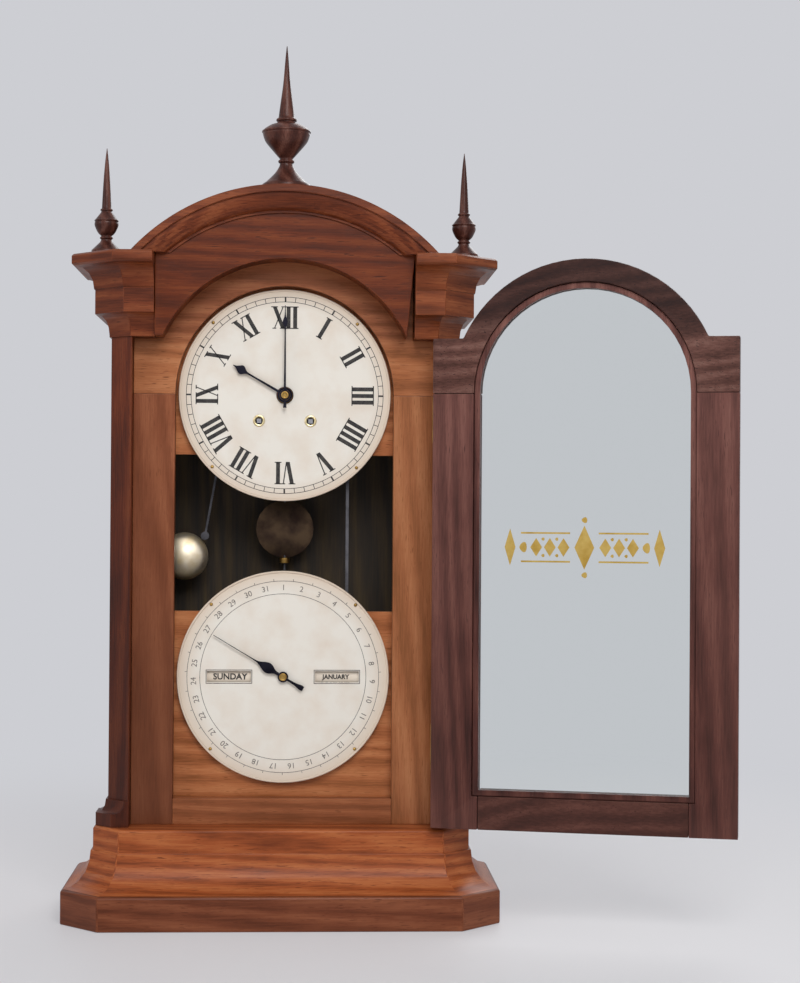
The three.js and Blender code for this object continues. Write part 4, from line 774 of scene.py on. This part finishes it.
# %% Dial rims
TO_VIEWER = (0, -1, 0)
RIM_STEPS = 128
RIM = [(97.2, 0.03), (97.4, 0.55), (98, 0.95), (98.6, 0.95), (99.1, 0.6),
       (99.3, 0), (99.3, -1.2), (99.05, -1.2), (99.05, 0.03)]
for dial, paper in (("time_dial", time_paper), ("calendar_dial", calendar_paper)):
    rim = spin(dial + "_rim", RIM, [front_centre(dial)], TO_VIEWER, paper, "case", RIM_STEPS, hollow=True)
    print(rim.name, "faces", len(rim.data.polygons))

# %% [markdown]
# Print on a dial is flat, so each mark is drawn in the plane of the dial and given a hair's thickness. A
# mark is a list of outlines that join edge to edge: a circle is a ring of short quads, a frame has four
# mitred sides, and a tick is one narrow box. An angle here runs clockwise from twelve, as on the dial.

# %% Flat print
PRINT_LIFT = 0.03 * MM
PRINT_THICK = 0.09 * MM
SAME_POINT = 0.001 * MM


def on_dial(angle, across, out):
    cos, sin = math.cos(angle), math.sin(angle)
    return Vector((across * cos + out * sin, out * cos - across * sin))


def hoop(inner, outer, steps=96):
    quads = []
    for k in range(steps):
        a, b = (2 * math.pi * (k + i) / steps for i in (0, 1))
        quads.append([on_dial(a, 0, inner), on_dial(a, 0, outer), on_dial(b, 0, outer), on_dial(b, 0, inner)])
    return quads


def tick(angle, inner, outer, width):
    half = width / 2
    return [[on_dial(angle, x, r) for x, r in ((-half, inner), (half, inner), (half, outer), (-half, outer))]]


def frame_line(x0, x1, half_high, line):
    outer = [(x0, -half_high), (x1, -half_high), (x1, half_high), (x0, half_high)]
    inner = [(x0 + line, line - half_high), (x1 - line, line - half_high), (x1 - line, half_high - line),
             (x0 + line, half_high - line)]
    return [[outer[k], outer[(k + 1) % 4], inner[(k + 1) % 4], inner[k]] for k in range(4)]


def thicken(shape, way):
    grown = bmesh.ops.extrude_face_region(shape, geom=shape.faces[:])["geom"]
    lifted = [g for g in grown if isinstance(g, bmesh.types.BMVert)]
    bmesh.ops.translate(shape, verts=lifted, vec=way)


def printed(name, centre, marks, material, body):
    shape = bmesh.new()
    for mark in marks:
        known = {}
        for outline in mark:
            corners = [(round(x, 4), round(z, 4)) for x, z in outline]
            for x, z in corners:
                if (x, z) not in known:
                    known[x, z] = shape.verts.new(centre + Vector((x * MM, -PRINT_LIFT, z * MM)))
            shape.faces.new([known[corner] for corner in corners])
    thicken(shape, (0, -PRINT_THICK, 0))
    return new_piece(name, shape, material, body)


print("print thickness in mm", PRINT_THICK / MM)

# %% [markdown]
# The hours are Roman numerals. A numeral is only three letters, I, V and X, and each is a few strokes:
# a thick one, a hairline and small serifs. Drawing those strokes gives the engraver's contrast of thick
# and thin that a plain typeface lacks. They stand on the dial with their feet to the centre, and four
# is written IIII, as on most clocks.

# %% Roman numerals
NUMERALS = ["XII", "I", "II", "III", "IIII", "V", "VI", "VII", "VIII", "IX", "X", "XI"]
NUMERAL_HEIGHT = 21
NUMERAL_CENTRE = 73
THICK, HAIR, SERIF, OVERHANG, SIDE_GAP = 3.7, 1.0, 0.9, 1.3, 0.6
LETTER_WIDTH = {"I": 6.2, "V": 12, "X": 12}


def slant(x0, z0, x1, z1, width):
    half = width / 2
    return [(x0 - half, z0), (x0 + half, z0), (x1 + half, z1), (x1 - half, z1)]


def serif(x, z, width):
    half = width / 2 + OVERHANG
    return [(x - half, z), (x + half, z), (x + half, z + SERIF), (x - half, z + SERIF)]


def letter(kind, x):
    top = NUMERAL_HEIGHT
    reach = LETTER_WIDTH[kind] / 2 - OVERHANG - SIDE_GAP
    if kind == "I":
        return [slant(x, 0, x, top, THICK), serif(x, 0, THICK), serif(x, top - SERIF, THICK)]
    tops = [serif(x - reach, top - SERIF, THICK), serif(x + reach, top - SERIF, HAIR)]
    if kind == "V":
        return tops + [slant(x - reach, top, x, 0, THICK), slant(x + reach, top, x + THICK / 3, 0, HAIR)]
    feet = [serif(x + reach, 0, THICK), serif(x - reach, 0, HAIR)]
    cross = [slant(x - reach, top, x + reach, 0, THICK), slant(x + reach, top, x - reach, 0, HAIR)]
    return tops + feet + cross


def numeral(text, angle):
    total = sum(LETTER_WIDTH[c] for c in text)
    start = -total / 2
    strokes = []
    for c in text:
        strokes += letter(c, start + LETTER_WIDTH[c] / 2)
        start += LETTER_WIDTH[c]
    foot = NUMERAL_CENTRE - NUMERAL_HEIGHT / 2
    return [[[on_dial(angle, x, foot + z) for x, z in stroke]] for stroke in strokes]


hours = []
for hour, text in enumerate(NUMERALS):
    hours += numeral(text, math.radians(30 * hour))
dial_middle = front_centre("time_dial")
printed("time_dial_numerals", dial_middle, hours, ink, "case")
print("numeral strokes", len(hours))

# %% [markdown]
# Outside the hours runs the minute track: two fine circles with a tick for every minute between them, like
# a ladder bent round the dial. Every fifth tick is bolder. Each tick ends inside the lines, so that no two
# marks share an edge.

# %% Minute track
TRACK_INNER, TRACK_OUTER, TRACK_LINE = 87.5, 92, 0.5
FIVE_WIDE, MINUTE_WIDE = 1.5, 0.6
track = [hoop(radius, radius + TRACK_LINE) for radius in (TRACK_INNER, TRACK_OUTER)]
for minute in range(60):
    wide = MINUTE_WIDE if minute % 5 else FIVE_WIDE
    track.append(tick(math.radians(6 * minute), TRACK_INNER + 0.3, TRACK_OUTER + 0.2, wide))
printed("time_dial_minute_track", dial_middle, track, ink, "case")
print("track marks", len(track))

# %% [markdown]
# The calendar dial carries the days of the month, 1 to 31, in a ring. Plain figures come from Blender's
# own text object, which is turned into a mesh and laid on the ring.

# %% Figures of the month
FIGURE_SIZE = 7.4
FIGURE_RING = 83.5
MONTH_DAYS = 31


def solid_of(curve):
    holder = bpy.data.objects.new("holder", curve)
    bpy.context.scene.collection.objects.link(holder)
    mesh = bpy.data.meshes.new_from_object(holder.evaluated_get(bpy.context.evaluated_depsgraph_get()))
    bpy.data.objects.remove(holder)
    bpy.data.curves.remove(curve)
    return mesh


def lay_text(shape, text, size, place, turn, bold=0, widest=None):
    curve = bpy.data.curves.new("lettering", "FONT")
    curve.body = text
    curve.size = size * MM
    curve.extrude = PRINT_THICK / 2
    curve.offset = bold
    curve.align_x = "CENTER"
    curve.align_y = "CENTER"
    curve.resolution_u = 3
    mesh = solid_of(curve)
    reach = max(v.co.x for v in mesh.vertices)
    squeeze = min(1, widest / 2 / reach) if widest else 1
    start = len(shape.verts)
    shape.from_mesh(mesh)
    shape.verts.ensure_lookup_table()
    for vert in shape.verts[start:]:
        vert.co = place(Vector((vert.co.x * squeeze, vert.co.y, vert.co.z)), turn)
    bpy.data.meshes.remove(mesh)


calendar_middle = front_centre("calendar_dial")


def on_ring(co, turn):
    spot = on_dial(turn, co.x / MM, FIGURE_RING + co.y / MM)
    return calendar_middle + Vector((spot.x * MM, -PRINT_LIFT - PRINT_THICK - co.z, spot.y * MM))


shape = bmesh.new()
for day in range(MONTH_DAYS):
    lay_text(shape, str(day + 1), FIGURE_SIZE, on_ring, 2 * math.pi * day / MONTH_DAYS)
new_piece("calendar_dial_figures", shape, faded_ink, "case", face_out=False)
print("figures", MONTH_DAYS)

# %% [markdown]
# Two circles hold the figures, with a short tick outside them between one day and the next. Two printed
# frames surround the windows where the weekday and the month show. Circles, ticks and frames are the
# marks of the time dial over again.

# %% Calendar ring and window frames
RING_INNER, RING_OUTER, DAY_TICK = 77.5, 89.5, 2.4
WINDOW_X, WINDOW_HIGH = (28.8, 72.2), 6.6
FRAME_LINE = 0.7
lines = [hoop(radius, radius + TRACK_LINE) for radius in (RING_INNER, RING_OUTER)]
for day in range(MONTH_DAYS):
    angle = 2 * math.pi * (day + 0.5) / MONTH_DAYS
    lines.append(tick(angle, RING_OUTER + 0.3, RING_OUTER + DAY_TICK, TRACK_LINE))
for side in (-1, 1):
    x0, x1 = sorted(side * x for x in WINDOW_X)
    lines.append(frame_line(x0, x1, WINDOW_HIGH, FRAME_LINE))
printed("calendar_dial_lines", calendar_middle, lines, faded_ink, "case")
print("calendar marks", len(lines))

# %% [markdown]
# Behind the windows turn two paper-covered rollers, one with the weekdays and one with the months. Each
# name is laid round its roller by turning its height into an angle, so that the name in the window is
# the one at the front. Long names are set in narrower type, as the printer did. We look down into the
# windows, so the names sit a little below the middle.

# %% Names on the rollers
WEEKDAYS = ["SUNDAY", "MONDAY", "TUESDAY", "WEDNESDAY", "THURSDAY", "FRIDAY", "SATURDAY"]
MONTHS = ["JANUARY", "FEBRUARY", "MARCH", "APRIL", "MAY", "JUNE", "JULY", "AUGUST", "SEPTEMBER", "OCTOBER",
          "NOVEMBER", "DECEMBER"]
ROLLER_LIFT = 0.05 * MM
ROLLER_BOLD = 0.18 * MM
NAME_WIDEST = 38 * MM
NAME_DROP = 0.36 * MM
DAY_SIZE, MONTH_SIZE = 8, 5.8


def roller_names(name, node, words, size, body):
    low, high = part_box(node)
    axis = (low + high) / 2
    radius = (high.z - low.z) / 2

    def on_roller(co, turn):
        a = turn + (co.y - NAME_DROP) / radius
        out = radius + ROLLER_LIFT + PRINT_THICK / 2 + co.z
        return Vector((axis.x + co.x, axis.y - out * math.cos(a), axis.z + out * math.sin(a)))

    drum = bmesh.new()
    for k, word in enumerate(words):
        lay_text(drum, word, size, on_roller, 2 * math.pi * k / len(words), ROLLER_BOLD, NAME_WIDEST)
    return new_piece(name, drum, ink, body, face_out=False)


roller_names("weekday_names", "day_roller", WEEKDAYS, DAY_SIZE, "day")
roller_names("month_names", "month_roller", MONTHS, MONTH_SIZE, "month")
print("names", len(WEEKDAYS) + len(MONTHS))

# %% [markdown]
# The hands are filed from blued sheet steel: a slim arm, a small leaf where the eye should fall and a
# fine point. On the date hand the leaf sits near the boss, so that it hides no figure. Half the width at
# each distance from the arbor describes such a hand, so each is a short list of stations with a smooth
# line through them, then mirrored. The boss is part of a circle between tail and arm.

# %% Outlines of the hands
BOSS_STEPS = 24
HOUR_BOSS, MINUTE_BOSS, DATE_BOSS = 7, 4.8, 5
HOUR_ARM = [(6.9, 1.2), (25, 0.95), (38, 0.85), (42, 1.4), (45.5, 3.9),
            (48, 4.2), (50.5, 2.5), (53, 1), (56, 0.3)]
MINUTE_TAIL = [(-12, 1.7), (-8, 1.2), (-4.7, 1)]
MINUTE_ARM = [(4.7, 1.05), (35, 0.8), (61, 0.65), (64, 1), (67, 2.2),
              (69, 2.4), (71.5, 1.5), (75, 0.6), (84, 0.3)]
DATE_TAIL = [(-22, 2.1), (-19, 2.4), (-13, 1.3), (-4.9, 1)]
DATE_ARM = [(4.8, 1.4), (9, 1.8), (13.5, 4.3), (17, 5), (21, 3.8),
            (26, 1.4), (31, 0.6), (45, 0.35), (76, 0.25)]


def hand_outline(tail, boss, arm):
    first = math.asin(tail[-1][1] / boss) if tail else 0
    last = math.pi - math.asin(arm[0][1] / boss)
    arc = [first + (last - first) * k / BOSS_STEPS for k in range(BOSS_STEPS)]
    right = [(half, out) for out, half in through(tail)[:-1]] if tail else []
    right += [(boss * math.sin(a), -boss * math.cos(a)) for a in arc]
    right += [(half, out) for out, half in through(arm)]
    return right + [(-across, out) for across, out in reversed(right) if across > 0]


print("stations of the arms", len(HOUR_ARM), len(MINUTE_ARM), len(DATE_ARM))

# %% [markdown]
# A flat curve with a circle inside it fills as a plate with a bore, and a hair of bevel takes the edge off.
# A bmesh could be cut the same way, but the curve fills any outline by itself. Where the hand points and
# how wide its bore is come from the plainer solid that it stands for.

# %% Cut the hands
HAND_EASE = 0.1 * MM
NEAR_TIP = 0.99


def sheet_metal(name, outlines, angle, thick):
    curve = bpy.data.curves.new(name, "CURVE")
    curve.dimensions = "2D"
    curve.fill_mode = "BOTH"
    curve.extrude = thick / 2 - HAND_EASE
    curve.bevel_depth = HAND_EASE
    curve.bevel_resolution = 1
    curve.offset = -HAND_EASE
    for outline in outlines:
        line = curve.splines.new("POLY")
        line.use_cyclic_u = True
        line.points.add(len(outline) - 1)
        for point, (across, out) in zip(line.points, outline):
            point.co = (*(on_dial(angle, across, out) * MM), 0, 1)
    return solid_of(curve)


def cut_hand(name, node, axis, tail, boss, arm, body):
    spots = [Vector((v.co.x - axis.x, v.co.z - axis.z)) for v in nodes[node].data.vertices]
    bore = min(spot.length for spot in spots) / MM
    reach = max(spot.length for spot in spots)
    tip = sum((spot for spot in spots if spot.length > NEAR_TIP * reach), Vector((0, 0)))
    turns = [math.tau * k / BOSS_STEPS for k in range(BOSS_STEPS)]
    ring = [(bore * math.cos(a), bore * math.sin(a)) for a in turns]
    low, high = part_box(node)
    outlines = (hand_outline(tail, boss, arm), ring)
    mesh = sheet_metal(name, outlines, math.atan2(tip.x, tip.y), high.y - low.y)
    plate = bmesh.new()
    plate.from_mesh(mesh)
    bpy.data.meshes.remove(mesh)
    bmesh.ops.remove_doubles(plate, verts=plate.verts, dist=SAME_POINT)
    for vert in plate.verts:
        vert.co = Vector((axis.x + vert.co.x, (low.y + high.y) / 2 - vert.co.z, axis.z + vert.co.y))
    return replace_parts(new_piece(name, plate, blued, body), node)


cut_hand("cut_hour_hand", "hour_hand", dial_middle, [], HOUR_BOSS, HOUR_ARM, "hour")
cut_hand("cut_minute_hand", "minute_hand", dial_middle, MINUTE_TAIL, MINUTE_BOSS, MINUTE_ARM, "minute")
cut_hand("cut_date_hand", "date_hand", calendar_middle, DATE_TAIL, DATE_BOSS, DATE_ARM, "date")

# %% [markdown]
# The door stands open, and what goes on it is easier to set out on the closed door, square to the front.
# One matrix swings it open again: a turn about the hinge, whose place and angle come from the frame.

# %% Swing of the door
joints = {joint["name"]: joint for joint in frame["joints"]}
hinge = joints["door_hinge"]
HINGE_AT = Vector(hinge["pos_m"])
DOOR_ANGLE = math.radians(-hinge["range_deg"][0])
swing = Matrix.Translation(HINGE_AT) @ Matrix.Rotation(DOOR_ANGLE, 4, "Z") @ Matrix.Translation(-HINGE_AT)
closed = [swing.inverted() @ v.co for v in nodes["door_glass"].data.vertices]
PANE_BACK = max(p.y for p in closed)
print("door open by", round(math.degrees(DOOR_ANGLE)), "degrees")

# %% [markdown]
# The pane carries a gilded ornament on its inner face: a tall lozenge in the middle, and to each side a row
# of smaller ones with round dots, between two fine lines. Gold leaf is thin but not flat, so each outline
# is a face with a hair's thickness, which catches the light at its edge.

# %% Gilding on the pane
GILDING_Z = 349
GILDING_REACH = 68
LEAF_THICK = 0.1 * MM
DROP_STEPS, DROP_LEAN = 14, 0.35
BAND_HALF, BAND_FROM, BAND_TO, BAND_LINE = 13, 13, 58, 1.6


def lozenge(x, z, wide, high):
    return [(x - wide, z), (x, z - high), (x + wide, z), (x, z + high)]


def drop(x, z, wide, high):
    turns = [2 * math.pi * k / DROP_STEPS for k in range(DROP_STEPS)]
    lean = [1 - DROP_LEAN * math.cos(a) for a in turns]
    return [(x + wide * math.cos(a), z + high * math.sin(a) * share) for a, share in zip(turns, lean)]


def bar(x0, x1, z, high):
    return [(x0, z - high / 2), (x1, z - high / 2), (x1, z + high / 2), (x0, z + high / 2)]


marks = [lozenge(0, 0, 9, 20), drop(0, 25, 2.6, 2.6), drop(0, -25, 2.6, 2.6)]
for side in (-1, 1):
    marks += [bar(side * BAND_FROM, side * BAND_TO, z, BAND_LINE) for z in (-BAND_HALF, BAND_HALF)]
    marks += [lozenge(side * x, 0, 5.4, 8.5) for x in (19, 31.5, 44)]
    marks += [drop(side * x, z, 1.5, 1.5) for x in (25.2, 37.8) for z in (-7.5, 7.5)]
    marks += [lozenge(side * GILDING_REACH, 0, 5, 17), drop(side * 56, 0, 3.4, 4.6)]
shape = bmesh.new()
for outline in marks:
    corners = [Vector((x * MM, PANE_BACK + PRINT_LIFT, (GILDING_Z + z) * MM)) for x, z in outline]
    shape.faces.new([shape.verts.new(corner) for corner in corners])
thicken(shape, (0, LEAF_THICK, 0))
bmesh.ops.transform(shape, matrix=swing, verts=shape.verts)
new_piece("gilded_ornament", shape, gold_leaf, "door")
print("gilded marks", len(marks))

# %% [markdown]
# Small turned fittings finish the dials: a brass grommet in each winding hole, and round-headed pins that
# hold the pans to their boards. The lathe makes them in sets, one set to a piece. A grommet has a hole, so
# it is turned hollow.

# %% Grommets and pins
GROMMET = [(3.5, -1.3), (3.5, 0.3), (3.8, 0.6), (4.6, 0.7),
           (5.4, 0.5), (5.7, 0.03), (4.95, 0.03), (4.95, -1.3)]
PIN = [(0, 0.03), (1.6, 0.03), (1.5, 0.5), (1.1, 0.9), (0.5, 1.1), (0, 1.15)]
PIN_RING = 95.5
GROMMET_STEPS, PIN_STEPS = 32, 16

arbors = [Vector(joints[name]["pos_m"]) for name in ("time_winding", "strike_winding")]
holes = [Vector((at.x, dial_middle.y, at.z)) for at in arbors]
grommets = spin("winding_hole_grommets", GROMMET, holes, TO_VIEWER, polished_brass, "case",
                GROMMET_STEPS, hollow=True)
for dial, middle in (("time", dial_middle), ("calendar", calendar_middle)):
    spots = [on_dial(math.radians(45 + 90 * k), 0, PIN_RING) * MM for k in range(4)]
    pins = [middle + Vector((spot.x, 0, spot.y)) for spot in spots]
    spin(f"{dial}_dial_pins", PIN, pins, TO_VIEWER, brass, "case", PIN_STEPS)
print("winding holes", len(holes), "pins on each dial", len(pins))

# %% [markdown]
# A small round nut keeps each top hand on its arbor. Its bore has to clear the arbor's tip, so the tip is
# measured on the solid, and the nut is turned round it with a hair of play.

# %% Hand nuts
NUT_REACH, NUT_HEIGHT, NUT_SEAT, NUT_PLAY, NUT_STEPS = 3.6, 1.3, 0.04, 0.15, 24
TIP_DEPTH = 0.1 * MM


def tip_radius(node, centre):
    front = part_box(node)[0].y
    tip = [v.co for v in nodes[node].data.vertices if v.co.y < front + TIP_DEPTH]
    return max(math.hypot(co.x - centre.x, co.z - centre.z) for co in tip) / MM


def hand_nut(name, arbor, hand, body, middle):
    seat = Vector((middle.x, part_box(hand)[0].y, middle.z))
    bore = tip_radius(arbor, middle) + NUT_PLAY
    face = [(NUT_REACH - 0.6, NUT_HEIGHT), (NUT_REACH, NUT_HEIGHT - 0.5)]
    profile = [(bore, NUT_SEAT), (bore, NUT_HEIGHT), *face, (NUT_REACH, NUT_SEAT)]
    spin(name, profile, [seat], TO_VIEWER, brass, body, NUT_STEPS, hollow=True)
    print(name, "bore in mm", round(bore, 2))


hand_nut("minute_hand_nut", "centre_arbor", "minute_hand", "minute", dial_middle)
hand_nut("date_hand_nut", "date_wheel", "date_hand", "date", calendar_middle)

# %% [markdown]
# The bell is a cast cup on a stud that stands out from the back board. Seen close, its lip has to be a true
# circle, so it is turned again here with fine steps, with the outside, the lip and the inside in one line.

# %% Bell
low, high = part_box("bell")
cup_front = front_centre("bell")
STUD_BACK = (low.y - high.y) / MM
STUD_RADIUS, BELL_STEPS = 3, 64
CUP_OUTSIDE = through([(1.5, 0), (8, -1), (17.2, -5), (21.4, -10), (22.6, -14.5), (23, -16)])
CUP_INSIDE = through([(21.4, -16), (19.6, -10.5), (15.6, -6.5), (6.9, -3), (STUD_RADIUS, -2.6)])
CUP = [(0, 0.02), *CUP_OUTSIDE, *CUP_INSIDE, (STUD_RADIUS, STUD_BACK), (0, STUD_BACK)]
cup = spin("cast_bell", CUP, [cup_front], TO_VIEWER, bell_metal, "case", BELL_STEPS)
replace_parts(cup, "bell")
ease(cup, 0)
print("stud length in mm", round(-STUD_BACK, 1))

# %% [markdown]
# Two butt hinges carry the door. Their screws are sunk flush, because the leaves close face to face with
# hardly any room between them, so each head is a very shallow dome. The heads on the door's leaves are set
# out on the closed door and swung open with it.

# %% Hinge screws
SCREW = [(0, -0.1), (2.1, -0.1), (2.1, 0.01), (1.7, 0.04), (0.8, 0.055), (0, 0.06)]
SCREW_ROWS = (7, 21, 35)
SCREW_SPOT, LEAF_GAP, SCREW_STEPS = 9.5, 0.1, 16
for kind, body, side, turn in (("case", "case", 1, Matrix.Identity(4)), ("door", "door", -1, swing)):
    spots = []
    for leaf in ("upper", "lower"):
        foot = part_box(f"{leaf}_hinge_case_leaf")[0].z
        first = Vector((HINGE_AT.x + side * LEAF_GAP * MM, HINGE_AT.y + SCREW_SPOT * MM, foot))
        spots += [turn @ (first + Vector((0, 0, row * MM))) for row in SCREW_ROWS]
    facing = turn.to_3x3() @ Vector((-side, 0, 0))
    spin(f"hinge_{kind}_screws", SCREW, spots, facing, steel, body, SCREW_STEPS)
print("screws on each leaf", len(SCREW_ROWS))

# %% [markdown]
# The back board is nailed into its rebate. A row of cut nails runs down each edge, with heads that are
# slightly domed and a little sunk, as a hammer leaves them.

# %% Back nails
TO_BACK = (0, 1, 0)
NAIL = [(0, -0.3), (2, -0.3), (2, 0.1), (1.4, 0.35), (0.6, 0.45), (0, 0.47)]
NAIL_INSET = 6 * MM
NAIL_ROWS, NAIL_STEPS = 6, 12
spacing = (dial_middle.z - back_low.z) / NAIL_ROWS
rows = [back_low.z + (k + 0.5) * spacing for k in range(NAIL_ROWS)]
edges = (back_low.x + NAIL_INSET, back_high.x - NAIL_INSET)
nails = [Vector((x, back_high.y, z)) for z in rows for x in edges]
spin("back_board_nails", NAIL, nails, TO_BACK, steel, "case", NAIL_STEPS)
print("nails", len(nails))

# %% [markdown]
# The last step sets the colour view to Standard.

# %% Finish
bpy.context.scene.view_settings.view_transform = "Standard"
